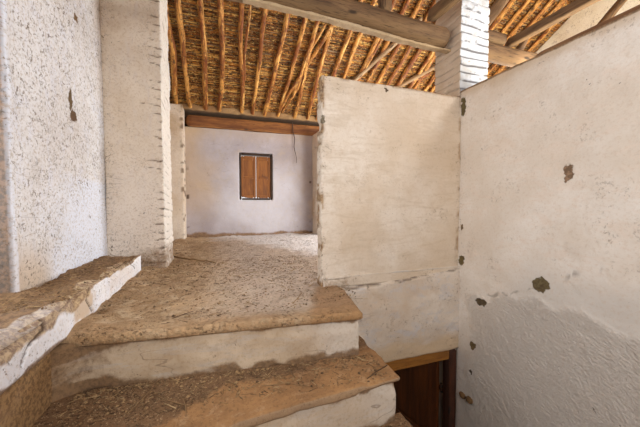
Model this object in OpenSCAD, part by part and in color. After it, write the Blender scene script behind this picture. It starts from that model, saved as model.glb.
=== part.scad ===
// Adobe house: stair bay and attic storey, with well walls, tie beams and a pole-and-cane roof.
// Origin at ground level under the ridge, midway between the end walls. +Y towards the back wall.

/* [House] */
// Overall length along X, over the end walls
house_w = 7150; // [6600:10:8600]
// Overall depth along Y, over the front and back walls
house_d = 7400; // [7000:10:8900]
// Thickness of the outer walls
wall_t = 450; // [350:10:600]
// Height of the attic floor above the ground
storey_h = 2500; // [2300:10:3000]
// Thickness of the earth floor on its joists
floor_t = 160; // [120:10:220]
// Height from the attic floor to the undersides of the roof poles at the inner face of the back wall
eave_h = 2210; // [2000:10:2600]

/* [Roof] */
// Slope of the roof in degrees
pitch = 30; // [22:1:36]
// How far the roof reaches past the front and back walls
eave_out = 240; // [150:10:400]
// How far the roof reaches past the end walls
verge_out = 90; // [50:10:200]
// Largest diameter of a roof pole, at its butt
pole_d = 76; // [60:1:100]
// Smallest diameter of a roof pole, at its tip
pole_tip_d = 62; // [45:1:75]
// Spacing of the roof poles
pole_step = 205; // [150:5:300]
// Thickness of the cane layer on the poles
cane_t = 26; // [15:1:40]
// Thickness of the earth bed on the canes
bed_t = 60; // [40:5:100]
// Depth of the tile layer on the bed
tile_t = 75; // [60:5:110]
// Diameter of the ridge log
ridge_d = 190; // [150:5:240]

/* [Stair] */
// Height of one riser
riser = 250; // [220:1:270]
// Going of the upper flight
upper_going = 335; // [280:5:360]
// Going of the lower flight
lower_going = 262; // [230:1:280]
// Width of the stairwell, from the left wall to the wall on its right
well_w = 2600; // [2300:5:2900]
// Width of the upper flight at the attic floor
upper_w = 1425; // [1150:1:1500]
// How much wider the first step of the upper flight is than the attic floor's end
step_flare = 98; // [0:1:110]
// How far the floor's edge is turned, half of it at each end
edge_turn = 79; // [0:1:90]
// How far the first step is turned the other way
step_turn = 48; // [0:1:60]
// Distance of the attic floor's edge in front of the ridge line
floor_edge = 570; // [450:10:700]
// How far a tread's lip stands out over its riser
lip = 22; // [10:1:40]
// Depth of that lip
lip_h = 45; // [25:1:70]

/* [Walls inside] */
// Thickness of the left wall above the attic floor
left_t = 450; // [400:10:600]
// How far the left wall is thicker below the attic floor
left_extra = 250; // [150:5:300]
// Height of the kerb along the left wall
kerb_h = 160; // [60:5:200]
// Width of the kerb
kerb_w = 290; // [150:5:320]
// Width of the brick pier
pier_w = 310; // [240:10:400]
// Thickness of the wall on the right of the stairwell
well_t = 300; // [200:10:350]
// Height of that wall above the attic floor
well_h = 1530; // [1000:10:1700]
// Height of the partition above the attic floor
part_h = 1485; // [1000:10:1700]
// Thickness of the partition
part_t = 100; // [80:5:140]
// Thickness of the wall at the end of the stairwell
end_t = 300; // [250:10:400]
// Width of the pier that stands out from the left wall
nib_w = 450; // [300:10:520]
// Depth of that pier
nib_d = 440; // [300:10:600]
// Width of the back wall's left pier
back_nib_w = 375; // [250:5:450]
// Width of the back wall's right pier
right_nib_w = 300; // [200:10:400]
// Height of the front parapet above the attic floor
parapet_h = 850; // [600:10:1100]
// Height of the wall plates under the roof
plate_h = 195; // [120:5:220]

/* [Openings] */
// Width of the window
window_w = 595; // [450:10:800]
// Height of the window
window_h = 850; // [600:10:1000]
// Height of the window above the attic floor
window_sill = 650; // [500:10:900]
// Width of the doorway at the foot of the stair
door_w = 820; // [700:10:900]
// Height of that doorway
door_h = 1852; // [1700:1:1950]
// Depth of the door frame's head
door_head = 85; // [50:5:120]
// Width of the ground doorway in the right wall
ground_door_w = 950; // [800:10:1100]
// Height of the ground doorway
ground_door_h = 2000; // [1800:10:2150]
// Width of the side doorway in the left wall
side_w = 1200; // [800:10:1400]
// Height of the side doorway's lintel above the attic floor
side_h = 1950; // [1800:10:2050]
// Angle at which the door leaf stands open
door_open = 75; // [0:1:85]

/* [Hidden] */
$fn = 32;
gap = 0.3;
bearing = 150;
notch = 120;
x0 = -house_w / 2;
x1 = house_w / 2;
y0 = -house_d / 2;
y1 = house_d / 2;
yf = y0 + wall_t;
yb = y1 - wall_t;
left_x = x0 + left_t;
stair_x = left_x + left_extra;
right_x = x1 - wall_t;
base_h = storey_h - floor_t;
slope = tan(pitch);
rise = 1 / cos(pitch);
eave_z = storey_h + eave_h;
ridge_z = eave_z + yb * slope;
well_x = stair_x + well_w;
upper_x = stair_x + upper_w;
lower_x = upper_x + 1.5 * step_flare;
end_y = -150;
kerb_x = left_x + kerb_w;
landing_z = storey_h - 4 * riser;
landing_y = -floor_edge - 3 * upper_going;
lower_top_y = -350 - 5 * lower_going;
pier_y0 = -140;
pier_y1 = 165;
end_face = 20;
joist_d = 120;
beam_r = 115;
beam_z = base_h - joist_d - beam_r - gap;
joists_left = [for (x = [stair_x + 150 : 420 : well_x - 100]) x];
joists_right = [for (x = [well_x + pier_w + 130 : 420 : right_x - 80]) x];
deck_a = pole_d + 2 * gap;
deck_b = deck_a + cane_t + bed_t;
side_y1 = -300;
side_y0 = side_y1 - side_w;
window_x = x0 + 1697;
window_rail = 35;
nib_y = 870;
kerb_y1 = 720;
back_nib_d = 300;
right_nib_x = x0 + 3060;
right_nib_d = 400;
ground_door_y = 900;
lintel_h = 100;
front_lintel_h = 120;
jamb = 58;
door_x1 = well_x;
door_x0 = door_x1 - door_w;
door_y = end_y;
frame_d = 100;
leaf_t = 40;
leaf_rail = 145;
leaf_stile = 90;
panel_sink = 11;
hinge_x = door_x1 - jamb + 2;
hinge_y = door_y + frame_d + 17;
pin_r = 8;
pintle_z = [300, 1400];
eye_h = 60;
eye_r = 15;
eye_play = 0.08;
strap_w = 40;
strap_t = 6;
tie_z = storey_h + 2040;
tie_r = 88;
bolster_x = left_x + 1100;
bolster_t = 25;
bolster_w = 100;
plate_z = storey_h + 1890;
plate_top = plate_z + plate_h;
plate_w = 170;
plate_in = 20;
pole_bed = 90;
cap_r = 24;
cap_in = 70;
cap_y1 = -700;
brace_z = tie_z - 45;
brace_tie_r = 75;
short_r = 60;
short_len = 350;
short_z = brace_z + brace_tie_r + short_r + gap;
post_r = 50;
post_x = well_x - 640;
ridge_log_z = ridge_z - ridge_d / 2 * rise;
timber_end = yf - 28;
ridge_cap_w = 150;
ridge_cap_top = 90;
ridge_cap_h = 70;

// Underside of the poles, and underside of the roof deck, at a distance from the ridge line
function roof_z(y) = ridge_z - abs(y) * slope;
function wall_z(y) = roof_z(y) + (deck_a - gap) * rise;

module block(xa, xb, ya, yb2, za, zb) {
  translate([xa, ya, za]) cube([xb - xa, yb2 - ya, zb - za]);
}

// A wall piece lying along Y, with an outline given as [y, z] points
module along_y(xa, xb, points) {
  translate([xa, 0, 0]) rotate([90, 0, 90]) linear_extrude(xb - xa) polygon(points);
}

module log_x(xa, xb, y, z, r) {
  translate([xa, y, z]) rotate([0, 90, 0]) cylinder(h = xb - xa, r = r);
}

module left_wall_base() {
  color("#cbb79c") {
    block(x0, stair_x, y0, y1, 0, base_h);
    block(left_x, stair_x, yf, yb, base_h, storey_h);
  }
}

module left_wall_back() {
  color("#e8e2d6") difference() {
    along_y(x0, left_x, [[side_y1, base_h], [y1, base_h], [y1, wall_z(y1)], [0, wall_z(0)],
      [side_y1, wall_z(side_y1)]]);
    side_lintel_space();
    ridge_socket(left_x - bearing, bearing + 1);
  }
}

module left_wall_front() {
  color("#e8e2d6") difference() {
    along_y(x0, left_x, [[y0, base_h], [side_y0, base_h], [side_y0, wall_z(side_y0)],
      [y0, wall_z(y0)]]);
    side_lintel_space();
  }
}

module left_wall_over() {
  z = storey_h + side_h + lintel_h;
  color("#e8e2d6") along_y(x0, left_x, [[side_y0, z], [side_y1, z], [side_y1, wall_z(side_y1)],
    [side_y0, wall_z(side_y0)]]);
}

module side_lintel_space() {
  block(x0 - 1, left_x + 1, side_y0 - bearing, side_y1 + bearing, storey_h + side_h,
    storey_h + side_h + lintel_h);
}

module side_lintel() {
  color("#7a6148") block(x0, left_x, side_y0 - bearing, side_y1 + bearing, storey_h + side_h,
    storey_h + side_h + lintel_h);
}

module left_kerb() {
  color("#d8cbb4") {
    block(left_x, kerb_x, side_y0, kerb_y1, storey_h, storey_h + kerb_h);
    block(x0, left_x, side_y0, side_y1, base_h, storey_h + kerb_h);
  }
}

module left_pier() {
  y = nib_y + nib_d;
  color("#dccdb4") along_y(left_x, left_x + nib_w, [[nib_y, storey_h], [y, storey_h],
    [y, roof_z(y) - gap], [nib_y, roof_z(nib_y) - gap]]);
}

module back_wall_base() {
  color("#cbb79c") difference() {
    block(stair_x, right_x, yb, y1, 0, base_h);
    joist_spaces();
  }
}

module back_wall() {
  color("#e4e0e6") difference() {
    block(left_x, right_x, yb, y1, base_h, plate_z);
    block(window_x, window_x + window_w, yb - 1, y1 + 1, storey_h + window_sill,
      storey_h + window_sill + window_h);
  }
}

module back_plate() {
  color("#8a6a4a") block(left_x + back_nib_w, right_x, yb - plate_in, yb - plate_in + plate_w,
    plate_z, plate_top);
}

// The wall behind and over a plate, up to the roof deck, with the poles' beds cut in its nose
module eave_course() {
  behind = yb - plate_in + plate_w;
  nose = yb + 30;
  difference() {
    along_y(left_x, right_x, [[behind - 40, plate_top], [behind, plate_top], [behind, plate_z],
      [y1, plate_z], [y1, wall_z(y1)], [nose, wall_z(nose)], [nose, plate_top + pole_bed],
      [behind - 40, plate_top + pole_bed]]);
    pole_row(gap);
  }
}

module back_eave_course() {
  color("#b09270") eave_course();
}

module back_left_pier() {
  color("#dccdb4") block(left_x, left_x + back_nib_w, yb - back_nib_d, yb, storey_h, eave_z - 60);
}

module back_right_pier() {
  color("#dccdb4") block(right_nib_x, right_nib_x + right_nib_w, yb - right_nib_d, yb, storey_h,
    plate_z);
}

module front_wall_base() {
  color("#cbb79c") difference() {
    block(stair_x, right_x, y0, yf, 0, base_h);
    joist_spaces();
  }
}

module front_parapet() {
  color("#e8e2d6") block(left_x, right_x, y0, yf, base_h, storey_h + parapet_h);
}

module front_piers() {
  color("#e8e2d6") for (x = [left_x, well_x, right_x - pier_w])
    block(x, x + pier_w, y0, yf, storey_h + parapet_h, plate_z - front_lintel_h);
}

module front_plate() {
  color("#8a6a4a") block(left_x, right_x, yf + plate_in - plate_w, yf + plate_in, plate_z,
    plate_top);
}

module front_lintel() {
  color("#8a6a4a") block(left_x, right_x, y0, yf, plate_z - front_lintel_h, plate_z);
}

module front_eave_course() {
  color("#b09270") mirror([0, 1, 0]) eave_course();
}

module right_wall_base() {
  color("#cbb79c") difference() {
    block(right_x, x1, y0, y1, 0, base_h);
    block(right_x - 1, x1 + 1, ground_door_y, ground_door_y + ground_door_w, -1, ground_door_h);
    log_x(right_x - 1, right_x + bearing, 0, beam_z, beam_r + gap);
  }
}

module right_wall() {
  color("#e0cf9c") difference() {
    along_y(right_x, x1, [[y0, base_h], [y1, base_h], [y1, wall_z(y1)], [0, wall_z(0)],
      [y0, wall_z(y0)]]);
    ridge_socket(right_x - 1, bearing + 1);
  }
}

module well_side_wall() {
  color("#dcc9b0") block(well_x, well_x + well_t, yf, pier_y0, 0, storey_h + well_h);
}

module well_wall_cap() {
  color("#7a6148") translate([well_x + cap_in, yf, storey_h + well_h + cap_r])
    rotate([-90, 0, 0]) cylinder(h = cap_y1 - yf, r = cap_r);
}

module well_end_wall() {
  y = end_y - end_face;
  color("#dcc9b0") difference() {
    along_y(stair_x, door_x0, [[y, 0], [y + end_t, 0], [y + end_t, base_h],
      [end_y + part_t, base_h], [end_y + part_t, storey_h], [y, storey_h]]);
    joist_spaces();
  }
}

module well_end_head() {
  y = end_y - end_face;
  color("#dcc9b0") difference() {
    along_y(door_x0, well_x, [[y, door_h], [y + end_t, door_h], [y + end_t, base_h],
      [end_y + part_t, base_h], [end_y + part_t, storey_h], [y, storey_h]]);
    joist_spaces();
  }
}

module partition() {
  color("#dfd0b6") block(upper_x - 65, well_x, end_y, end_y + part_t, storey_h, storey_h + part_h);
}

module brick_pier() {
  color("#f0ece4") difference() {
    block(well_x, well_x + pier_w, pier_y0, pier_y1, 0, ridge_log_z);
    log_x(well_x - 1, well_x + pier_w + 1, 0, ridge_log_z, ridge_d / 2 + gap);
    log_x(well_x + pier_w - notch, well_x + pier_w + 1, 0, beam_z, beam_r + gap);
    log_x(well_x + pier_w - notch, well_x + pier_w + 1, 0, brace_z, brace_tie_r + gap);
    bolster(gap);
  }
}

module attic_floor_back() {
  color("#a5805a") difference() {
    block(stair_x, right_x, end_y + part_t, yb, base_h, storey_h);
    pier_space();
  }
}

module pier_space() {
  block(well_x - 1, well_x + pier_w, pier_y0 - 1, pier_y1, base_h - 1, storey_h + 1);
}

module attic_floor_right() {
  color("#a5805a") difference() {
    block(well_x + well_t, right_x, yf, end_y + part_t, base_h, storey_h);
    pier_space();
  }
}

module joists(r) {
  for (x = joists_left) translate([x, 30, base_h - joist_d / 2]) rotate([-90, 0, 0])
    cylinder(h = yb + bearing - 30, r = r);
  for (x = joists_right, side = [-1, 1])
    translate([x, side * 5, base_h - joist_d / 2]) rotate([-90 * side, 0, 0])
      cylinder(h = yb + bearing - 5, r = r);
}

module joist_spaces() {
  w = joist_d / 2 + 5;
  end = yb + bearing + gap;
  for (x = joists_left) block(x - w, x + w, 30 - gap, end, base_h - joist_d - gap, base_h + 1);
  for (x = joists_right) block(x - w, x + w, -end, end, base_h - joist_d - gap, base_h + 1);
}

module floor_joists() { color("#7a6148") joists(joist_d / 2); }

module floor_beam() {
  color("#7a6148") log_x(well_x + pier_w - notch + 1, right_x + bearing - 1, 0, beam_z, beam_r);
}

// Riser of the upper flight's step n at its left and its right end, and that step's width
turns = [edge_turn, -step_turn, 0, 0];
function left_y(n) = -floor_edge - n * upper_going + turns[n];
function right_y(n) = -floor_edge - n * upper_going - turns[n];
function step_x(n) = upper_x + min(n, 1.5) * step_flare;

// Plan of step n, from its riser back to the step above it
function step_plan(n) = n == 0
  ? [[stair_x, left_y(0)], [upper_x, right_y(0)], [upper_x + 65, end_y - end_face],
     [stair_x, end_y - end_face]]
  : [[stair_x, left_y(n)], [step_x(n), right_y(n)], [step_x(n), right_y(n - 1)],
     [step_x(n - 1), right_y(n - 1)], [stair_x, left_y(n - 1)]];

module upper_step(n) {
  z = storey_h - n * riser;
  color("#c09a70") {
    linear_extrude(z) polygon(step_plan(n));
    translate([0, 0, z - lip_h]) linear_extrude(lip_h) polygon([[stair_x, left_y(n) - lip],
      [step_x(n), right_y(n) - lip], [step_x(n), right_y(n)], [stair_x, left_y(n)]]);
  }
}

module stair_head() { upper_step(0); }
module upper_step_1() { upper_step(1); }
module upper_step_2() { upper_step(2); }
module upper_step_3() { upper_step(3); }

module half_landing() {
  color("#c09a70") {
    block(stair_x, well_x, yf, lower_top_y, 0, landing_z);
    block(stair_x, lower_x, lower_top_y, landing_y, 0, landing_z);
  }
}

module lower_flight() {
  color("#c09a70") difference() {
    for (n = [1 : 5])
      block(upper_x - 1, well_x, lower_top_y + (n - 1) * lower_going,
        lower_top_y + n * lower_going, 0, landing_z - n * riser);
    for (n = [0 : 3]) linear_extrude(landing_z) polygon(step_plan(n));
    block(upper_x - 2, lower_x, lower_top_y - 1, landing_y, -1, landing_z);
  }
}

module door_frame() {
  color("#a5662e") difference() {
    block(door_x0, door_x1, door_y, door_y + frame_d, 0, door_h);
    block(door_x0 + jamb + 15, door_x1 - jamb - 15, door_y - 1, door_y + frame_d + 1, -1,
      door_h - door_head - 15);
    block(door_x0 + jamb, door_x1 - jamb, door_y + frame_d - leaf_t - 8, door_y + frame_d + 1, -1,
      door_h - door_head);
  }
}

module pintle(z) {
  translate([hinge_x, hinge_y, z]) cylinder(h = eye_h + 10, r = pin_r);
  block(hinge_x - 2, hinge_x + 38, door_y + frame_d, hinge_y + pin_r, z - 12, z);
}

module door_pintles() {
  color("#4a4038") for (z = pintle_z) pintle(z);
}

// Leaf with two sunk panels on each face, hung by its eyes on the pintles and standing open
module door_leaf() {
  leaf_w = door_w - 2 * jamb - 10;
  leaf_h = door_h - door_head - 20;
  panel_h = (leaf_h - 3 * leaf_rail) / 2;
  color("#5a3a22") translate([hinge_x, hinge_y, 0]) rotate([0, 0, -door_open]) {
    difference() {
      translate([-leaf_w - 7, -12 - leaf_t, 15]) cube([leaf_w, leaf_t, leaf_h]);
      for (i = [0, 1], y = [-13 - leaf_t, -12 - panel_sink])
        translate([-leaf_w - 7 + leaf_stile, y, 15 + leaf_rail + i * (panel_h + leaf_rail)])
          cube([leaf_w - 2 * leaf_stile, panel_sink + 1, panel_h]);
    }
    for (z = pintle_z) difference() {
      union() {
        translate([0, 0, z + 1]) cylinder(h = eye_h, r = eye_r);
        translate([5 - leaf_stile, -12, z + 11]) cube([leaf_stile - 10, strap_t, strap_w]);
      }
      translate([0, 0, z]) cylinder(h = eye_h + 2, r = pin_r + eye_play);
    }
  }
}

module window_frame() {
  z = storey_h + window_sill;
  color("#4a3424") difference() {
    block(window_x, window_x + window_w, yb + 20, yb + 90, z, z + window_h);
    block(window_x + window_rail, window_x + window_w - window_rail, yb, y1, z + window_rail,
      z + window_h - window_rail);
  }
}

// One shutter, with two sunk panels on its inner face
module shutter(x) {
  w = window_w / 2 - window_rail - 4;
  h = window_h - 2 * window_rail - 4;
  panel_h = (h - 176) / 2;
  translate([x, yb + 40, storey_h + window_sill + window_rail + gap]) difference() {
    cube([w, 28, h]);
    for (i = [0, 1]) translate([45, -1, 50 + i * (panel_h + 50)]) cube([w - 90, 9, panel_h]);
  }
}

module shutter_left() {
  color("#b06a2c") shutter(window_x + window_rail + gap);
}

module shutter_right() {
  color("#b06a2c") shutter(window_x + window_w / 2 + 4 - gap);
}

module tie_beam() {
  color("#8c8078") log_x(left_x, well_x - 20, 0, tie_z, tie_r);
}

module bolster(c) {
  top = tie_z - tie_r - gap;
  w = bolster_w / 2 + c;
  block(bolster_x, well_x + 60 + c, -w, w, top - bolster_t - c, top + c);
}

module tie_bolster() {
  color("#c8b48c") bolster(0);
}

module right_tie_log() {
  color("#8c8078") log_x(well_x + pier_w - notch + 1, right_x, 0, brace_z, brace_tie_r);
}

module short_log() {
  color("#a08a6c") log_x(well_x + pier_w, well_x + pier_w + short_len, 0, short_z, short_r);
}

// A timber from the tie down to the front plate
module tie_timber(x, w, h, z) {
  end = plate_top + gap;
  along_y(x, x + w, [[20, z], [20, z + h], [timber_end, end + h], [timber_end, end]]);
}

module tie_timbers() {
  color("#857468") {
    tie_timber(well_x - 240, 80, 90, tie_z + tie_r + 1);
    tie_timber(well_x + pier_w + short_len + 15, 70, 75, brace_z + brace_tie_r + 1);
  }
}

module ridge_post() {
  color("#8c8078") difference() {
    translate([post_x, 0, tie_z]) cylinder(h = ridge_log_z - tie_z, r = post_r);
    log_x(post_x - 160, well_x, 0, tie_z, tie_r + gap);
    log_x(post_x - 160, well_x, 0, ridge_log_z, ridge_d / 2 + gap);
  }
}

function brace_length(lean) = (ridge_z - brace_z) / cos(lean) + 100;

// A brace that leans to the right from the tie log, cut where it meets other timbers
module roof_brace(x, lean, r, r_end, length) {
  difference() {
    translate([x, 0, brace_z]) rotate([0, lean, 0]) cylinder(h = length, r1 = r, r2 = r_end);
    log_x(well_x, right_x, 0, brace_z, brace_tie_r + gap);
    log_x(x, right_x, 0, ridge_log_z, ridge_d / 2 + gap);
    block(x - 100, right_x, -200, 200, ridge_log_z, ridge_z + 900);
    block(right_x - gap, right_x + 900, -200, 200, brace_z, ridge_z + 900);
  }
}

module roof_braces() {
  color("#8c8078") {
    difference() {
      roof_brace(well_x + pier_w - 105, 40, 50, 50, brace_length(40));
      log_x(well_x + pier_w - 1, well_x + pier_w + short_len + 1, 0, short_z, short_r + gap);
      block(well_x, well_x + pier_w + gap, -200, 200, brace_z - 200, brace_z + 600);
      block(well_x, well_x + pier_w + short_len + 50, -200, 200, brace_z - 200, short_z);
    }
    roof_brace(well_x + pier_w + 500, 33, 38, 12, 400);
    roof_brace(well_x + pier_w + 1230, 46, 45, 45, brace_length(46));
  }
}

module ridge_socket(x, depth) {
  log_x(x, x + depth, 0, ridge_log_z, ridge_d / 2 + gap);
}

module ridge_log() {
  color("#8c8078") log_x(left_x - bearing + 1, right_x + bearing - 1, 0, ridge_log_z, ridge_d / 2);
}

pole_count = floor((right_x - left_x - 150) / pole_step);
pole_len = (y1 + eave_out) * rise;
pole_mid = 25;

// One roof pole, grown by c all round where its bed is cut
module pole(x, butt_down, c) {
  r0 = (butt_down ? pole_tip_d : pole_d) / 2;
  r1 = (butt_down ? pole_d : pole_tip_d) / 2;
  translate([x, 0, ridge_z]) rotate([-90 - pitch, 0, 0]) translate([0, -gap, 6])
    rotate([-atan((r0 - r1) / pole_len), 0, 0]) translate([0, -r0, 0])
      cylinder(h = pole_len - 30, r1 = r0 + c, r2 = r1 + c);
}

module pole_row(c) {
  for (i = [0 : pole_count - 1])
    pole(pole_mid + (i - (pole_count - 1) / 2) * pole_step, i % 2 == 0, c);
}

module back_poles() {
  color("#c07a34") pole_row(0);
}

module front_poles() {
  color("#c07a34") mirror([0, 1, 0]) pole_row(0);
}

// A layer of the roof, from a to b above the undersides of the poles
module layer(a, b) {
  y = y1 + eave_out;
  along_y(x0 - verge_out, x1 + verge_out, [[0.2, ridge_z + a * rise], [y, roof_z(y) + a * rise],
    [y, roof_z(y) + b * rise], [0.2, ridge_z + b * rise]]);
}

module back_roof_deck() { color("#8a6238") layer(deck_a, deck_b); }
module front_roof_deck() { color("#8a6238") mirror([0, 1, 0]) layer(deck_a, deck_b); }
module back_tiles() { color("#b5623c") layer(deck_b, deck_b + tile_t); }
module front_tiles() { color("#b5623c") mirror([0, 1, 0]) layer(deck_b, deck_b + tile_t); }

module ridge_tiles() {
  z = ridge_z + (deck_b + tile_t) * rise + gap;
  color("#b5623c") {
    along_y(x0 - verge_out, x1 + verge_out, [[-ridge_cap_w, z - ridge_cap_w * slope], [0, z],
      [ridge_cap_w, z - ridge_cap_w * slope], [ridge_cap_top, z + 20], [0, z + ridge_cap_h],
      [-ridge_cap_top, z + 20]]);
  }
}

left_wall_base();
left_wall_back();
left_wall_front();
left_wall_over();
side_lintel();
left_kerb();
left_pier();
back_wall_base();
back_wall();
back_left_pier();
back_right_pier();
back_plate();
back_eave_course();
front_wall_base();
front_parapet();
front_piers();
front_lintel();
front_plate();
front_eave_course();
right_wall_base();
right_wall();
well_side_wall();
well_wall_cap();
well_end_wall();
well_end_head();
partition();
brick_pier();
attic_floor_back();
attic_floor_right();
floor_joists();
floor_beam();
stair_head();
upper_step_1();
upper_step_2();
upper_step_3();
half_landing();
lower_flight();
door_frame();
door_pintles();
door_leaf();
window_frame();
shutter_left();
shutter_right();
tie_beam();
tie_bolster();
right_tie_log();
short_log();
tie_timbers();
ridge_post();
roof_braces();
ridge_log();
back_poles();
front_poles();
back_roof_deck();
front_roof_deck();
back_tiles();
front_tiles();
ridge_tiles();
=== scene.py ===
# Looks of the adobe house: stair bay and attic storey
import math

import bpy
import numpy as np
from mathutils import Matrix, Vector


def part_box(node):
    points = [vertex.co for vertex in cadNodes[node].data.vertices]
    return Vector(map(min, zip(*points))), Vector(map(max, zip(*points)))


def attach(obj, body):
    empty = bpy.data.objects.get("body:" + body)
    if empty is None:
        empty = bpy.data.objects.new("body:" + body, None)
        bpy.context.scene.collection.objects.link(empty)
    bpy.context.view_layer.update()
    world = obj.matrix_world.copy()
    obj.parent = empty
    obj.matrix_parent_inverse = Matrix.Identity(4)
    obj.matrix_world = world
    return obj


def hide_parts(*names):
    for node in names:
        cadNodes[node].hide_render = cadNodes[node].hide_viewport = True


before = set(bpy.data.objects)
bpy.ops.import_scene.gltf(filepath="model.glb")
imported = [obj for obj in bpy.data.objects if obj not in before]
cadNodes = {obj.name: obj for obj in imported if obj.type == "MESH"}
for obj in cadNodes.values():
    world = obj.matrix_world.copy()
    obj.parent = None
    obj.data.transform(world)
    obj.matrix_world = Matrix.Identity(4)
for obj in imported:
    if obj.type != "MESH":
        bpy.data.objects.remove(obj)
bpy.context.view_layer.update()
chance = np.random.default_rng(20)


# Numbers on a surface

def lattice(points, size, seed):
    # Value noise: a random number at each corner of a cubic lattice, blended across the cell by a smooth step
    place = points / size + seed * 7.31
    cell = np.floor(place).astype(np.int64)
    part = place - cell
    part = part * part * (3 - 2 * part)
    total = np.zeros(len(points))
    for corner in np.ndindex(2, 2, 2):
        key = cell + np.array(corner)
        mixed = (key[:, 0] * 73856093) ^ (key[:, 1] * 19349663) ^ (key[:, 2] * 83492791) ^ (seed * 2654435)
        mixed = (mixed ^ (mixed >> 13)) * 1274126177
        value = ((mixed ^ (mixed >> 16)) & 65535) / 32767.5 - 1
        weight = np.prod(np.where(np.array(corner) == 1, part, 1 - part), axis=1)
        total += value * weight
    return total


def rough(points, size, octaves, seed):
    # Sum of lattice noises, each at half the size and half the height of the one before
    return sum(lattice(points, size / 2 ** k, seed + k) / 2 ** k for k in range(octaves))


def ease(value, low, high):
    # 0 below low, 1 above high, a smooth step between
    part = np.clip((value - low) / (high - low), 0, 1)
    return part * part * (3 - 2 * part)


def onLine(points, knots, width, axes=(1, 2)):
    # 1 on a broken line drawn in two axes, 0 past its width
    flat = points[:, list(axes)]
    nearest = np.full(len(points), 9.0)
    for start, end in zip(np.array(knots[:-1]), np.array(knots[1:])):
        ahead = end - start
        share = np.clip((flat - start) @ ahead / (ahead @ ahead), 0, 1)
        nearest = np.minimum(nearest, np.linalg.norm(flat - start - share[:, None] * ahead, axis=1))
    return 1 - ease(nearest, width * 0.4, width)


def spot(points, centre, radius):
    # 1 at the centre of a ragged patch, 0 past its radius along X, Y and Z
    reach = np.linalg.norm((points - np.array(centre)) / np.array(radius), axis=1)
    return 1 - ease(reach + 0.3 * lattice(points, 0.03, 3), 0.6, 1.0)


# Meshes from arrays

def addPiece(name, points, faces, material, replaced=(), body="house", extra=None, smooth=True):
    mesh = bpy.data.meshes.new(name)
    mesh.from_pydata(points.tolist(), [], faces)
    mesh.update()
    mesh.polygons.foreach_set("use_smooth", [smooth] * len(mesh.polygons))
    for key, values in (extra or {}).items():
        kind = "FLOAT_VECTOR" if values.ndim == 2 else "FLOAT"
        layer = mesh.attributes.new(key, kind, "POINT")
        layer.data.foreach_set("vector" if values.ndim == 2 else "value", values.astype(np.float32).ravel())
    mesh.materials.append(material)
    piece = bpy.data.objects.new(name, mesh)
    bpy.context.scene.collection.objects.link(piece)
    if replaced:
        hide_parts(*replaced)
    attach(piece, body)


def cuttingPlanes(bounds, step, fine):
    # Spreads planes between each pair of bounds, closer in the fine zones and near each bound
    bounds = np.unique(np.round(bounds, 4))
    planes = [bounds[:1]]
    for low, high in zip(bounds[:-1], bounds[1:]):
        along = np.linspace(low, high, 600)
        local = np.full(600, float(step))
        for start, end, small in fine:
            local = np.where((along > start) & (along < end), np.minimum(local, small), local)
        if high - low > 0.05:
            nearBound = np.minimum(along - low, high - along) < 0.03
            local = np.where(nearBound, np.minimum(local, 0.012), local)
        count = np.concatenate([[0], np.cumsum(np.diff(along) / local[1:])])
        planes.append(np.interp(np.linspace(0, count[-1], max(1, round(count[-1])) + 1)[1:], count, along))
    return np.concatenate(planes)


def cellSurface(boxes, holes, steps, fine):
    # Cuts space into cells by planes along X, Y and Z, keeps the cells in a box and in no hole,
    # and takes each face between a kept and an empty cell
    ends = np.array(list(boxes) + list(holes), float).reshape(-1, 3)
    planes = [cuttingPlanes(ends[:, k], steps[k], fine.get("xyz"[k], ())) for k in range(3)]
    middles = np.meshgrid(*[(p[1:] + p[:-1]) / 2 for p in planes], indexing="ij")

    def within(box):
        low, high = np.array(box[0]), np.array(box[1])
        return np.logical_and.reduce([(middles[k] > low[k]) & (middles[k] < high[k]) for k in range(3)])

    kept = np.logical_or.reduce([within(b) for b in boxes])
    for hole in holes:
        kept &= ~within(hole)
    kept = np.pad(kept, 1)
    counts = [len(p) for p in planes]
    quads = []
    for axis in range(3):
        before = np.take(kept, range(kept.shape[axis] - 1), axis)
        after = np.take(kept, range(1, kept.shape[axis]), axis)
        first, second = [k for k in range(3) if k != axis]
        for wall, flip in ((before & ~after, axis == 1), (after & ~before, axis != 1)):
            index = np.argwhere(wall)
            index[:, first] -= 1
            index[:, second] -= 1
            corners = []
            for a, b in ((0, 0), (1, 0), (1, 1), (0, 1)):
                move = index.copy()
                move[:, first] += a
                move[:, second] += b
                corners.append((move[:, 0] * counts[1] + move[:, 1]) * counts[2] + move[:, 2])
            face = np.stack(corners, axis=1)
            quads.append(face[:, ::-1] if flip else face)
    quads = np.concatenate(quads)
    used, quads = np.unique(quads, return_inverse=True)
    quads = quads.reshape(-1, 4)
    k = used % counts[2]
    j = (used // counts[2]) % counts[1]
    i = used // (counts[1] * counts[2])
    return np.stack([planes[0][i], planes[1][j], planes[2][k]], axis=1), quads


def relax(points, quads, rounds):
    # Moves each point half way to the mean of its neighbours, which rounds the arrises
    pairs = np.concatenate([quads[:, [a, (a + 1) % 4]] for a in range(4)])
    pairs = np.unique(np.sort(pairs, axis=1), axis=0)
    count = np.bincount(pairs.ravel(), minlength=len(points))[:, None]
    for _ in range(rounds):
        total = np.zeros_like(points)
        np.add.at(total, pairs[:, 0], points[pairs[:, 1]])
        np.add.at(total, pairs[:, 1], points[pairs[:, 0]])
        points = points * 0.5 + total / count * 0.5
    return points


def pointNormals(points, quads):
    # Sum of the area vectors of the faces round each point, made one long
    across = np.cross(points[quads[:, 2]] - points[quads[:, 0]], points[quads[:, 3]] - points[quads[:, 1]])
    total = np.zeros_like(points)
    for corner in range(4):
        np.add.at(total, quads[:, corner], across)
    return total / np.maximum(np.linalg.norm(total, axis=1), 1e-12)[:, None]


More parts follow.
